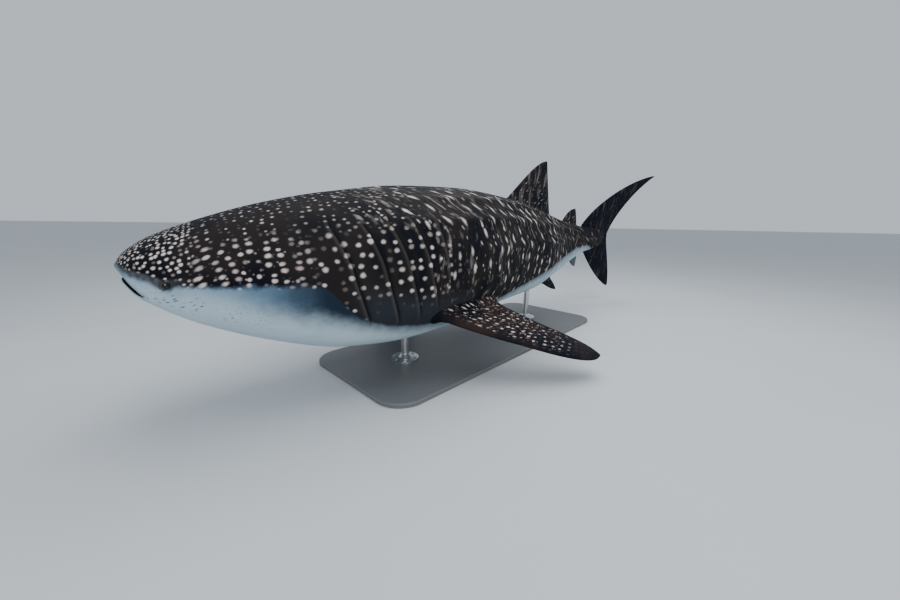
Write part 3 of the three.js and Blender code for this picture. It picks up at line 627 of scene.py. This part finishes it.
def hide_finish():
    f = Finish("hide_spotted")
    skin_map = f.map("hide_map")
    side = f.parts(skin_map)[1]
    round_side = f.maths("ABSOLUTE", side)
    back, turn = f.value("back"), f.value("turn")
    dark_edge, slate_edge = f.value("dark_edge"), f.value("slate_edge")
    row_map = f.joined(f.value("spot_back"), f.value("spot_row"))
    at = f.object_place()
    drift = f.noise(at, 1.7, 4)
    patch = f.noise(at, 3.4, 3)
    fine = f.noise(at, 9, 5, 0.6)
    zone = f.maths("ADD", back, f.scaled(fine, 0.16, -0.08))
    high = f.step(f.maths("ADD", turn, f.scaled(fine, 0.1, -0.05)), 0.40, 0.30)

    # freckles crowd the snout, larger ovals lie in rows over the cheek, and small ones high on the head
    cheek = f.times(f.step(zone, *CHEEK_IN), f.step(zone, *CHEEK_OUT))
    gills_in = f.step(zone, *GILLS_IN)
    ovals = f.most(f.spots(row_map, *CHEEK_OVALS), f.times(f.spots(row_map, *DOTS_BETWEEN), 0.7))
    rounds = f.times(f.spots(row_map, *GILL_ROUNDS), gills_in, f.step(zone, *GILLS_OUT))
    low_head = f.times(f.most(f.times(ovals, cheek), rounds), f.maths("SUBTRACT", 1.0, high))
    small_rows = f.times(f.spots(row_map, *SMALL_ROWS), 0.72)
    high_head = f.times(small_rows, f.most(cheek, gills_in), f.step(zone, *HIGH_HEAD_OUT), high)
    freckles = f.times(f.spots(row_map, *FRECKLES), f.step(zone, *SNOUT_OUT))
    head_spots = f.most(f.maths("ADD", high_head, low_head), freckles)

    # behind the gills long streaks lean back from the spine and hang straight down the flank,
    # with columns of tall bright spots between them
    lean = f.times(f.step(round_side, 0.85, 0.0), 0.42)
    sway = f.scaled(f.noise(skin_map, 2.2, 2), 0.14, -0.07)
    bar_back = f.maths("ADD", f.maths("ADD", back, lean), sway)
    bar_map = f.joined(bar_back, side)
    broken = f.noise(f.stretched(bar_map, 14.0, 9.0), 1.0, 4, 0.65)
    streaks = f.times(f.spots(bar_map, *STREAKS), f.step(broken, 0.36, 0.72))
    wave = f.maths("PINGPONG", bar_back, BAR_SPACING)
    bars = f.times(f.step(wave, 0.030, 0.004), f.step(broken, 0.4, 0.75))
    trunk = f.most(
        f.spots(bar_map, *TALL_SPOTS),
        f.times(f.spots(bar_map, *LITTLE_SPOTS), 0.7),
        f.times(streaks, f.scaled(high, 0.3, 0.65)),
        f.times(bars, 0.45),
    )
    trunk_from = f.scaled(high, -0.45, 1.6)
    trunk = f.times(trunk, f.step(f.maths("SUBTRACT", zone, trunk_from), -0.15, 0.2))

    # the spots dim towards the tail and in patches, and nearly vanish low down behind the gills
    fading = f.scaled(f.step(back, 5.4, 3.4), 0.6, 0.4)
    patchy = f.scaled(f.step(patch, 0.3, 0.62), 0.4, 0.6)
    plain = f.times(f.step(dark_edge, 0.33, 0.17), f.step(zone, *PLAIN_IN), f.step(zone, *PLAIN_OUT))
    spotted = f.times(f.most(head_spots, trunk), fading, patchy, f.scaled(plain, -0.93, 1.0))

    # the dark back is mottled brown on the flank, with olive shades in the bars
    brown = f.times(f.step(drift, 0.38, 0.6), f.step(round_side, 0.1, 0.4))
    ground = f.mix(brown, BACK_COLOUR, BROWN_COLOUR)
    shade = f.noise(f.stretched(bar_map, 9.0, 1.6), 1.0, 3)
    shade = f.times(f.step(shade, 0.45, 0.7), f.step(zone, 0.9, 1.5), 0.75)
    ground = f.mix(shade, ground, OLIVE_COLOUR)
    ground = f.mix(f.times(plain, 0.75), ground, PLAIN_COLOUR)
    # a painted highlight along the raised edge of each gill flap
    ground = f.mix(f.times(f.value("gill_edge_highlight"), 0.3), ground, FLAP_EDGE_HIGHLIGHT_COLOUR)
    pink = f.times(f.step(patch, 0.62, 0.72), f.step(zone, 1.9, 1.5), 0.7)
    tint = f.mix(f.step(drift, 0.35, 0.7), SPOT_COLOUR, GREY_SPOT_COLOUR)
    tint = f.mix(pink, tint, PINK_COLOUR)
    marked = f.mix(f.step(spotted, 0.02, 0.38), ground, DIM_SPOT_COLOUR)
    marked = f.mix(f.step(spotted, 0.3, 0.95), marked, tint)
    snout_edge = f.times(f.step(dark_edge, 0.058, 0.036), f.step(back, 0.36, 0.27), 0.95)
    snout_shade = f.mix(f.step(fine, 0.35, 0.65), SNOUT_EDGE_COLOUR, SNOUT_SHADE_COLOUR)
    marked = f.mix(snout_edge, marked, snout_shade)

    # below it slate blue, deepest under the gills, that clears to the pale clouded belly
    deep = f.mix(f.step(zone, 0.5, 1.0), SLATE_COLOUR, DEEP_SLATE_COLOUR)
    cloudy = f.mix(f.step(drift, 0.3, 0.7), BELLY_COLOUR, CLOUD_COLOUR)
    speckle = f.times(
        f.spots(row_map, *SPECKLES), f.step(slate_edge, -0.24, -0.14), f.step(slate_edge, 0.0, -0.05),
        f.step(back, *SPECKLE_IN), f.step(back, *SPECKLE_OUT), f.step(fine, 0.38, 0.52), 0.85,
    )
    cloudy = f.mix(speckle, cloudy, DEEP_SLATE_COLOUR)
    slate = f.step(f.maths("ADD", slate_edge, f.scaled(fine, 0.12, -0.06)), -0.12, 0.12)
    rim = f.scaled(f.noise(at, 14, 3), 0.05, -0.025)
    above = f.step(f.maths("ADD", dark_edge, rim), -0.018, 0.018)
    colour = f.mix(above, f.mix(slate, cloudy, deep), marked)

    # the lips, then painted shade round the eyelids, in the pits and gill creases, and inside the mouth
    colour = f.mix(f.times(f.value("lip"), 0.7), colour, LIP_COLOUR)
    colour = f.mix(f.times(f.value("lid_shade"), 0.75), colour, LID_SHADE_COLOUR)
    hollow_shade = f.most(f.value("pit_shade"), f.times(f.value("gill_crease_shade"), 0.8))
    colour = f.mix(f.times(hollow_shade, 0.85), colour, HOLLOW_SHADE_COLOUR)
    colour = f.mix(f.step(f.value("mouth_inner_shade"), 0.25, 0.9), colour, HOLLOW_SHADE_COLOUR)
    f.surface(colour, f.scaled(fine, 0.25, 0.48), HIDE_GLOSS)

    # the grain of the hide, with low folds that run along the body
    grain = f.noise(at, 140, 3, 0.6)
    folds = f.noise(f.stretched(f.joined(back, side), 1.2, 14), 1.0, 3)
    f.bump(f.scaled(grain, 0.25, f.scaled(folds, 0.8, fine)), 0.3, 0.012)
    return f.material


hide.data.materials.append(hide_finish())
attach(hide, "root")
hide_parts("head", "lower_jaw", "gill_region", "trunk", "rear_trunk", "tail_stock")

# The fins: thin firm blades of the same dark hide over cartilage, each thickest just behind its leading
# edge and drawn out to a soft trailing edge. Each is lofted from its root to its tip and swells into the
# body with a rounded fillet, as on the real animal, whose fins have no visible joint.
COLUMNS = 112
LOOP = 2 * np.pi * np.arange(COLUMNS) / COLUMNS + 1e-4
SPAN_ROWS, FILLET_ROWS = 64, 9
FIN_TIP_RISE, TAIL_TIP_RISE = 0.0012, 0.001

# the rings inside the body: how deep each lies and its share of the foot's size; then how far the
# fillet sinks into the skin, and how much narrower it is at the blade's two edges
BURIED_RINGS = [(0.035, 0.35), (0.03, 0.8)]
FILLET_SINK, FILLET_EDGE = 0.0004, 0.25

# root as station, across and up; droop in degrees from level, thickness at root and tip, fillet in
# metres; then the curves of both edges, back and out from the root, in shares of the body
FINS = {
    "pectoral": dict(
        root=(0.232, 0.086, -0.0585), droop=26, thick=(0.0145, 0.0035), fillet=0.085,
        lead=[(-0.012, -0.03), (0.0494, 0.0485), (0.12, 0.1275), (0.159, 0.1195)],
        trail=[(0.1, -0.03), (0.1105, 0.0363), (0.1745, 0.0851), (0.1655, 0.116)],
    ),
    "pelvic": dict(
        root=(0.515, 0.034, -0.05), droop=46, thick=(0.0055, 0.0018), fillet=0.03,
        lead=[(-0.012, -0.02), (0.006, 0.011), (0.016, 0.0235), (0.032, 0.026)],
        trail=[(0.04, -0.02), (0.046, 0.004), (0.044, 0.016), (0.0365, 0.0248)],
    ),
    "first_dorsal": dict(
        root=(0.44, 0, 0.078), droop=-90, thick=(0.0125, 0.0026), fillet=0.07,
        lead=[(-0.02, -0.02), (0.045, 0.018), (0.09, 0.066), (0.1355, 0.077)],
        trail=[(0.17, -0.04), (0.157, 0.012), (0.147, 0.052), (0.1425, 0.0755)],
    ),
    "second_dorsal": dict(
        root=(0.652, 0, 0.045), droop=-90, thick=(0.0065, 0.002), fillet=0.035,
        lead=[(-0.012, -0.02), (0.011, 0.019), (0.033, 0.031), (0.0525, 0.0325)],
        trail=[(0.066, -0.02), (0.063, 0.006), (0.058, 0.026), (0.0545, 0.0315)],
    ),
    "anal": dict(
        root=(0.69, 0, -0.02), droop=90, thick=(0.0055, 0.002), fillet=0.03,
        lead=[(-0.012, -0.012), (0.006, 0.008), (0.018, 0.024), (0.031, 0.0255)],
        trail=[(0.038, -0.012), (0.036, 0.004), (0.0365, 0.018), (0.033, 0.0248)],
    ),
}


def bezier(points, t):
    p = np.array(points)
    t = np.asarray(t)[..., None]
    return p[0] * (1 - t) ** 3 + 3 * p[1] * t * (1 - t) ** 2 + 3 * p[2] * t * t * (1 - t) + p[3] * t**3


def skin_radius(station, across, up):
    """From the middle of the body out through a point: how far the point is, and how far the skin is."""
    middle = outline(4, station)
    room = np.where(up > middle, outline(1, station) - middle, middle - outline(2, station))
    width = np.maximum(outline(3, station), 1e-5)
    side, height = np.abs(across) / width, np.abs(up - middle) / room
    scale = (side**SECTION + height**SECTION) ** (1 / SECTION)
    sin = (side / scale) ** (SECTION / 2)
    degrees = np.degrees(np.arcsin(np.clip(sin, 0, 1)))
    degrees = np.where(up > middle, degrees, 180 - degrees)
    far = np.hypot(across, up - middle)
    return far, far / scale + relief(station, degrees)


def set_height(points, height):
    """Points moved out from the middle of the body until they stand that high over the skin, in shares."""
    station, across, up = np.moveaxis(points, -1, 0)
    far, skin_far = skin_radius(station, across, up)
    middle = outline(4, station)
    grow = (skin_far + height) / far
    return np.stack([station, across * grow, middle + (up - middle) * grow], -1)


def fin_points(fin, sign, reach):
    """A ring round a fin's blade, blunt in front and thin behind; reach is 0 at its root and 1 at its tip."""
    chord = (1 - np.cos(LOOP)) / 2
    lead, trail = bezier(fin["lead"], reach), bezier(fin["trail"], reach)
    edge = lead * (1 - chord[:, None]) + trail * chord[:, None]
    shape = 2.2 * np.sqrt(chord) * (1 - chord) + 0.12 * np.sqrt(np.abs(np.sin(LOOP)))
    thick = fin["thick"][0] + (fin["thick"][1] - fin["thick"][0]) * reach**0.8
    offset = np.sign(np.sin(LOOP)) * 0.5 * shape * thick
    droop = math.radians(fin["droop"])
    out = (sign * math.cos(droop), -math.sin(droop))
    root = fin["root"]
    return np.stack([
        root[0] + edge[..., 0],
        sign * root[1] + edge[..., 1] * out[0] - sign * offset * out[1],
        root[2] + edge[..., 1] * out[1] + sign * offset * out[0],
    ], -1)


def tip_rings(tip, before, rise):
    """Three small rings that round off a blade beyond its last one."""
    centre = tip.mean(0)
    outward = centre - before.mean(0)
    outward *= rise / np.linalg.norm(outward)
    return [
        centre + (tip - centre) * np.cos(theta) + outward * np.sin(theta)
        for theta in np.radians([25, 50, 75])
    ]


def face_outward(piece):
    work = bmesh.new()
    work.from_mesh(piece.data)
    bmesh.ops.recalc_face_normals(work, faces=work.faces)
    if work.calc_volume(signed=True) < 0:
        bmesh.ops.reverse_faces(work, faces=work.faces)
    work.to_mesh(piece.data)
    work.free()


def blade_mesh(name, rings, reaches):
    """The closed mesh of a blade through its rings, with its map: metres across and metres out."""
    placed = place(*np.moveaxis(np.array(rings), -1, 0))
    blade = mesh_object(name, placed.reshape(-1, 3), grid_faces(len(rings), COLUMNS))
    face_outward(blade)
    reach = np.array(reaches)
    give_value(blade, "reach", reach)
    give_value(blade, "chord", np.broadcast_to((1 - np.cos(LOOP)) / 2, reach.shape))
    give_value(blade, "upper_face", np.broadcast_to(np.sin(LOOP), reach.shape))
    half = COLUMNS // 2
    arc = np.cumsum(np.linalg.norm(np.diff(placed, axis=1, append=placed[:, :1]), axis=-1), axis=1)
    arc = np.concatenate([np.zeros((len(rings), 1)), arc], axis=1)
    arc = np.where(np.arange(COLUMNS + 1) > half, 2 * arc[:, half:half + 1] - arc, arc)
    span = np.concatenate([[0], np.cumsum(np.linalg.norm(np.diff(placed.mean(1), axis=0), axis=-1))])
    row, column = np.divmod(corner_vertices(blade), COLUMNS)
    layer = blade.data.uv_layers.new(name="fin_map")
    layer.data.foreach_set("uv", np.stack([arc[row, column], span[row]], -1).astype(np.float32).ravel())
    return blade


def loft_fin(name, fin, sign):
    def reach_for(height):
        """How far out each line of the blade stands that high over the skin."""
        low, high = np.zeros(COLUMNS), np.full(COLUMNS, 0.75)
        for _ in range(30):
            half_way = (low + high) / 2
            far, skin_far = skin_radius(*fin_points(fin, sign, half_way).T)
            above = far - skin_far > height
            low, high = np.where(above, low, half_way), np.where(above, half_way, high)
        return (low + high) / 2

    fillet = fin["fillet"] / BODY
    at_skin, at_fillet = reach_for(0.0), reach_for(fillet)
    foot, top = fin_points(fin, sign, at_skin), fin_points(fin, sign, at_fillet)
    tangent = np.roll(foot, -1, axis=0) - np.roll(foot, 1, axis=0)
    radial = foot - np.stack([foot[:, 0], 0 * foot[:, 1], outline(4, foot[:, 0])], -1)
    away = np.cross(tangent, radial)
    away /= np.linalg.norm(away, axis=-1, keepdims=True)
    away *= np.sign(np.sum(away * (foot - foot.mean(0)), axis=-1).sum())
    away = away * (1 - FILLET_EDGE * np.abs(np.cos(LOOP))[:, None] ** 6)

    rings, reaches = [], []
    for sink, shrink in BURIED_RINGS:
        rings.append(set_height(foot.mean(0) + (foot - foot.mean(0)) * shrink, -sink))
        reaches.append(np.zeros(COLUMNS))
    for theta in np.radians(np.linspace(0, 80, FILLET_ROWS)):
        risen = 1 - np.cos(theta)
        ring = foot + fillet * (1 - np.sin(theta)) * away + (top - foot) * risen
        rings.append(set_height(ring, fillet * risen - FILLET_SINK))
        reaches.append(at_skin + (at_fillet - at_skin) * risen)
    for share in np.linspace(0, 1, SPAN_ROWS):
        reaches.append(at_fillet + (1 - at_fillet) * share)
        rings.append(fin_points(fin, sign, reaches[-1]))
    rings += tip_rings(rings[-1], rings[-3], FIN_TIP_RISE)
    reaches += [np.ones(COLUMNS)] * 3
    return blade_mesh(name, rings, reaches)


PECTORAL_BROWN = (0.0235, 0.0140, 0.0125, 1)
FIN_PALE = (0.30, 0.38, 0.43, 1)


def fin_finish(name, top, cell, radius, spot_strength, pale_under, streaks):
    f = Finish(name)
    uv = f.map("fin_map")
    at = f.object_place()
    reach, chord = f.value("reach"), f.value("chord")
    drift = f.noise(at, 3, 4)
    fine = f.noise(at, 12, 5, 0.6)
    warm = f.times(f.step(drift, 0.35, 0.65), f.step(reach, 0.96, 0.7))
    ground = f.mix(warm, BACK_COLOUR, top)

    # spots fade towards the tip and the edges, and streaks lean along the fin
    small = f.spots(uv, (cell[0] * 0.55, cell[1] * 0.6), (radius[0] * 0.5, radius[1] * 0.5), 0.8, 0.4, 8)
    spots = f.most(f.spots(uv, cell, radius, 0.6, 0.7, 7), f.times(small, 0.7))
    field = f.scaled(f.times(f.step(reach, -0.15, 0.2), f.step(reach, 0.78, 0.38)), 0.93, 0.05)
    field = f.times(field, f.step(chord, 0.03, 0.14), f.step(chord, 1.0, 0.9))
    x, _, z = f.parts(at)
    leaning = f.stretched(f.joined(f.scaled(z, -0.3, x), z), 24, 3.5)
    streak = f.times(f.step(f.noise(leaning, 1.0, 4, 0.6), 0.5, 0.72), streaks)
    colour = f.mix(f.most(f.times(spots, field, spot_strength), streak), ground, SPOT_COLOUR)

    # the underside is pale but for its edges and tip
    pale = f.times(
        f.step(f.value("upper_face"), 0.12, -0.12), f.step(chord, 0.02, 0.12), f.step(chord, 0.98, 0.86),
        f.step(reach, 0.97, 0.75), pale_under,
    )
    colour = f.mix(pale, colour, f.mix(f.step(drift, 0.3, 0.7), FIN_PALE, BELLY_COLOUR))
    f.surface(colour, f.scaled(fine, 0.25, 0.42), HIDE_GLOSS)
    rays = f.noise(f.stretched(uv, 60, 3), 1.0, 2)
    f.bump(f.scaled(rays, 0.5, f.noise(at, 140, 3, 0.6)), 0.3, 0.008)
    return f.material


pectoral_hide = fin_finish("pectoral_hide", PECTORAL_BROWN, (0.060, 0.066), (0.0105, 0.0130), 1.0, 0.9, 0.0)
pelvic_hide = fin_finish("pelvic_hide", BACK_COLOUR, (0.06, 0.06), (0.009, 0.008), 0.3, 0.8, 0.0)
anal_hide = fin_finish("anal_hide", OLIVE_COLOUR, (0.06, 0.06), (0.009, 0.008), 0.2, 0.25, 0.0)
dorsal_hide = fin_finish("dorsal_hide", BROWN_COLOUR, (0.085, 0.09), (0.009, 0.018), 0.45, 0.0, 0.22)

for name, kind, sign, material in [
    ("pectoral_fin_left", "pectoral", -1, pectoral_hide),
    ("pectoral_fin_right", "pectoral", 1, pectoral_hide),
    ("pelvic_fin_left", "pelvic", -1, pelvic_hide),
    ("pelvic_fin_right", "pelvic", 1, pelvic_hide),
    ("first_dorsal_fin", "first_dorsal", 1, dorsal_hide),
    ("second_dorsal_fin", "second_dorsal", 1, dorsal_hide),
    ("anal_fin", "anal", 1, anal_hide),
]:
    blade = loft_fin(name + "_hide", FINS[kind], sign)
    blade.data.materials.append(material)
    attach(blade, "root")
    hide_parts(name)

# The tail fin: one crescent blade, a long upper lobe and a shorter lower one, stiff at the leading
# edges and soft at the trailing one. It grows out of the end of the tail stock and is lofted in one
# piece from the lower tip, past the fork, to the upper tip.
TAIL_ROOT = (0.755, 0, 0.0165)
UPPER_LOBE = dict(
    root=TAIL_ROOT, droop=-90, thick=(0.011, 0.0022),
    lead=[(-0.032, 0.015), (0.02, 0.0745), (0.14, 0.1325), (0.2335, 0.1495)],
    trail=[(0.07, -0.002), (0.09, 0.05), (0.167, 0.113), (0.2345, 0.147)],
)
LOWER_LOBE = dict(
    root=TAIL_ROOT, droop=90, thick=(0.0095, 0.002),
    lead=[(-0.02, 0.013), (0.007, 0.046), (0.051, 0.099), (0.094, 0.1165)],
    trail=[(0.074, -0.004), (0.081, 0.035), (0.099, 0.075), (0.099, 0.113)],
)
FORK_REACH = 0.07
LOWER_ROWS, UPPER_ROWS = 60, 80

rings, reaches = [], []
for lobe, sign, spread in [
    (LOWER_LOBE, -1, np.linspace(1, FORK_REACH, LOWER_ROWS)),
    (UPPER_LOBE, 1, np.linspace(FORK_REACH, 1, UPPER_ROWS)),
]:
    for reach in spread:
        reaches.append(np.full(COLUMNS, reach))
        rings.append(fin_points(lobe, sign, reaches[-1]))
lower_tip = tip_rings(rings[0], rings[2], TAIL_TIP_RISE)
upper_tip = tip_rings(rings[-1], rings[-3], TAIL_TIP_RISE)
rings = lower_tip[::-1] + rings + upper_tip
reaches = [np.ones(COLUMNS)] * 3 + reaches + [np.ones(COLUMNS)] * 3
tail_fin = blade_mesh("tail_fin_hide", rings, reaches)
tail_hide = fin_finish("tail_hide", BACK_COLOUR, (0.1, 0.1), (0.01, 0.01), 0.1, 0.0, 0.08)
tail_fin.data.materials.append(tail_hide)
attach(tail_fin, "root")
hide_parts("tail_fin_upper", "tail_fin_lower")

# The eyes: small glassy balls set low on each side of the broad head, just behind the corner of the
# mouth, dark with a narrow brown iris. Each is a separate ball that stands a little proud of the hide.
PUPIL_COLOUR = (0.0015, 0.0015, 0.002, 1)
EYE_RIM_COLOUR = (0.035, 0.04, 0.05, 1)
EYE_RINGS, EYE_COLUMNS = 40, 56


def eye_finish():
    f = Finish("eye_glass")
    turned = f.value("from_axis")
    fleck = f.noise(f.object_place(), 420, 3)
    iris = f.mix(f.step(fleck, 0.35, 0.65), (0.012, 0.009, 0.007, 1), (0.045, 0.034, 0.026, 1))
    colour = f.mix(f.step(turned, 0.60, 0.54), iris, PUPIL_COLOUR)
    colour = f.mix(f.step(turned, 0.92, 1.05), colour, EYE_RIM_COLOUR)
    gloss = {"Specular IOR Level": 0.25, "Coat Weight": 0.35, "Coat Roughness": 0.03}
    f.surface(colour, f.scaled(fleck, 0.06, 0.05), gloss)
    return f.material


eye_glass = eye_finish()
polar = np.linspace(0.02, math.pi - 0.02, EYE_RINGS)[:, None]
azimuth = np.linspace(0, 2 * math.pi, EYE_COLUMNS, endpoint=False)
wide, tall = np.sin(polar) * np.cos(azimuth), np.sin(polar) * np.sin(azimuth)
deep = np.cos(polar) + 0 * azimuth
for name, sign in [("eye_left", -1), ("eye_right", 1)]:
    skin_at = on_skin(EYE_STATION, EYE_LEVEL, sign)
    outward = skin_at - on_skin(EYE_STATION, EYE_LEVEL, sign, inset=0.004)
    outward /= np.linalg.norm(outward)
    centre = skin_at - outward * (EYE_RADIUS - EYE_PROUD)
    sideways = np.cross(outward, (0, 0, 1))
    sideways /= np.linalg.norm(sideways)
    upright = np.cross(sideways, outward)
    ball = wide[..., None] * sideways + tall[..., None] * upright + deep[..., None] * outward
    points = (centre + EYE_RADIUS * ball).reshape(-1, 3)
    eye = mesh_object(name + "_ball", points, grid_faces(EYE_RINGS, EYE_COLUMNS))
    face_outward(eye)
    give_value(eye, "from_axis", np.broadcast_to(polar, deep.shape))
    eye.data.materials.append(eye_glass)
    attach(eye, "root")
    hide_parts(name)

# The display stand: a base plate of painted steel on the floor, and two brushed steel rods with welded
# foot flanges that reach up into the belly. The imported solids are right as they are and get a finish.
PLATE_GREYS = (0.10, 0.105, 0.11, 1), (0.125, 0.13, 0.135, 1)
STEEL_GREYS = (0.50, 0.51, 0.52, 1), (0.62, 0.63, 0.64, 1)
BRUSHING = (30, 30, 900)


def plate_finish():
    f = Finish("plate_paint")
    at = f.object_place()
    f.surface(f.mix(f.noise(at, 1.2, 3), *PLATE_GREYS), f.scaled(f.noise(at, 60, 3), 0.15, 0.42), {})
    f.bump(f.noise(at, 300, 3), 0.1, 0.001)
    return f.material


def rod_finish():
    f = Finish("rod_steel")
    brushed = f.noise(f.stretched(f.object_place(), *BRUSHING), 1.0, 3)
    f.surface(f.mix(brushed, *STEEL_GREYS), f.scaled(brushed, 0.2, 0.22), {"Metallic": 1.0})
    f.bump(brushed, 0.15, 0.0005)
    return f.material


plate_paint, rod_steel = plate_finish(), rod_finish()
for name, material in [
    ("stand_base", plate_paint), ("stand_rod_front", rod_steel), ("stand_rod_rear", rod_steel),
]:
    for slot in bpy.data.objects[name].material_slots:
        slot.material = material

# The flange bolts: six plain hexagon-headed steel bolts through each foot flange into the base plate.
# They are turned and threaded stock bolts, and only their heads show.
FLANGE_TOP = 0.0523
ROD_STATIONS = {"front": 0.25, "rear": 0.54}
BOLTS, BOLT_CIRCLE, BOLT_HEAD, BOLT_HEIGHT = 6, 0.095, 0.0135, 0.012


def bolt_group():
    group = bpy.data.node_groups.new("flange_bolts", "GeometryNodeTree")
    group.interface.new_socket("Geometry", in_out="OUTPUT", socket_type="NodeSocketGeometry")
    inputs = {}
    for label, kind in [
        ("Geometry", "Geometry"), ("Bolts", "Int"), ("Circle", "Float"), ("Head", "Float"),
        ("Height", "Float"), ("Place", "Vector"), ("Steel", "Material"),
    ]:
        made = group.interface.new_socket(label, in_out="INPUT", socket_type="NodeSocket" + kind)
        inputs[label] = made.identifier
    given = group.nodes.new("NodeGroupInput").outputs
    result = group.nodes.new("NodeGroupOutput")
    ring = group.nodes.new("GeometryNodeMeshCircle")
    head = group.nodes.new("GeometryNodeMeshCylinder")
    head.inputs["Vertices"].default_value = 6
    copies = group.nodes.new("GeometryNodeInstanceOnPoints")
    moved = group.nodes.new("GeometryNodeTransform")
    real = group.nodes.new("GeometryNodeRealizeInstances")
    coated = group.nodes.new("GeometryNodeSetMaterial")
    for start, end in [
        (given["Bolts"], ring.inputs["Vertices"]),
        (given["Circle"], ring.inputs["Radius"]),
        (given["Head"], head.inputs["Radius"]),
        (given["Height"], head.inputs["Depth"]),
        (ring.outputs["Mesh"], copies.inputs["Points"]),
        (head.outputs["Mesh"], copies.inputs["Instance"]),
        (copies.outputs["Instances"], moved.inputs["Geometry"]),
        (given["Place"], moved.inputs["Translation"]),
        (moved.outputs["Geometry"], real.inputs["Geometry"]),
        (real.outputs["Geometry"], coated.inputs["Geometry"]),
        (given["Steel"], coated.inputs["Material"]),
        (coated.outputs["Geometry"], result.inputs["Geometry"]),
    ]:
        group.links.new(start, end)
    return group, inputs


bolt_nodes, bolt_inputs = bolt_group()
for end, rod_station in ROD_STATIONS.items():
    foot = place(rod_station, 0.0, 0.0)
    bolts = mesh_object("stand_bolts_" + end, [(0, 0, 0)], [])
    maker = bolts.modifiers.new("flange_bolts", "NODES")
    maker.node_group = bolt_nodes
    for label, value in [
        ("Bolts", BOLTS), ("Circle", BOLT_CIRCLE), ("Head", BOLT_HEAD), ("Height", BOLT_HEIGHT),
        ("Place", (float(foot[0]), float(foot[1]), FLANGE_TOP + BOLT_HEIGHT / 2)), ("Steel", rod_steel),
    ]:
        maker[bolt_inputs[label]] = value
    bpy.context.view_layer.update()
    ready = bolts.evaluated_get(bpy.context.evaluated_depsgraph_get())
    heads = bpy.data.meshes.new_from_object(ready)
    bolts.modifiers.clear()
    bolts.data = heads
    heads.shade_flat()
    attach(bolts, "root")

# The floor under the stand: a plain, matt and pale sheet of one colour with a faint cloudiness.
# It is wide enough to reach the horizon of every view.
FLOOR_SIZE = 400
FLOOR_GREYS = (0.50, 0.52, 0.54, 1), (0.56, 0.58, 0.60, 1)
bpy.ops.mesh.primitive_plane_add(size=FLOOR_SIZE, location=(0, 0, cad_box[0][2]))
floor = bpy.context.object
floor.name = "floor"
floor_matt = Finish("floor_matt")
clouded = floor_matt.noise(floor_matt.object_place(), 0.6, 3)
floor_matt.surface(floor_matt.mix(clouded, *FLOOR_GREYS), 0.8, {})
floor.data.materials.append(floor_matt.material)

# The light: a bright soft ceiling over the animal, a dimmer and cooler pale room all round,
# and a wide fill from the left so that the flank the camera sees isn't lost.
ROOM_COLOUR, ROOM_STRENGTH = (0.78, 0.86, 0.94, 1), 0.75
world = bpy.data.worlds.new("room")
bpy.context.scene.world = world
world.use_nodes = True
world.node_tree.nodes["Background"].inputs["Color"].default_value = ROOM_COLOUR
world.node_tree.nodes["Background"].inputs["Strength"].default_value = ROOM_STRENGTH

# name, watts, size, place, the point it faces, colour
for name, energy, size, at, towards, colour in [
    ("ceiling", 420, 7, (0.5, -0.5, 6), (0.5, 0, 1), (0.95, 0.98, 1)),
    ("left_fill", 780, 6, (-8.0, -10.0, 6.0), (-0.5, 0, 1), (1, 1, 1)),
]:
    lamp = bpy.data.lights.new(name, "AREA")
    lamp.energy, lamp.size, lamp.color = energy, size, colour
    holder = bpy.data.objects.new(name, lamp)
    bpy.context.collection.objects.link(holder)
    holder.location = at
    holder.rotation_euler = (Vector(towards) - Vector(at)).to_track_quat("-Z", "Y").to_euler()

# The camera: low by the snout, looking back along the left flank from a little above, with a wide
# lens. Its place and angles are in metres and radians, and its focal length in pixels of a 900 wide frame.
CAMERA_AT = (-2.8261, -2.2573, 1.2485)
YAW, PITCH, ROLL = 0.8049, -0.2262, 0.0148
FOCAL_PIXELS, FRAME_PIXELS, SENSOR = 331.67, 900, 36
forward = Vector((math.sin(YAW) * math.cos(PITCH), math.cos(YAW) * math.cos(PITCH), math.sin(PITCH)))
level_right = Vector((math.cos(YAW), -math.sin(YAW), 0))
level_up = level_right.cross(forward)
right = math.cos(ROLL) * level_right + math.sin(ROLL) * level_up
upward = math.cos(ROLL) * level_up - math.sin(ROLL) * level_right
lens = bpy.data.cameras.new("camera")
lens.sensor_width = SENSOR
lens.lens = FOCAL_PIXELS / FRAME_PIXELS * SENSOR
lens.clip_start = 0.05
camera = bpy.data.objects.new("camera", lens)
bpy.context.collection.objects.link(camera)
camera.matrix_world = Matrix.Translation(CAMERA_AT) @ Matrix((right, upward, -forward)).transposed().to_4x4()
bpy.context.scene.camera = camera
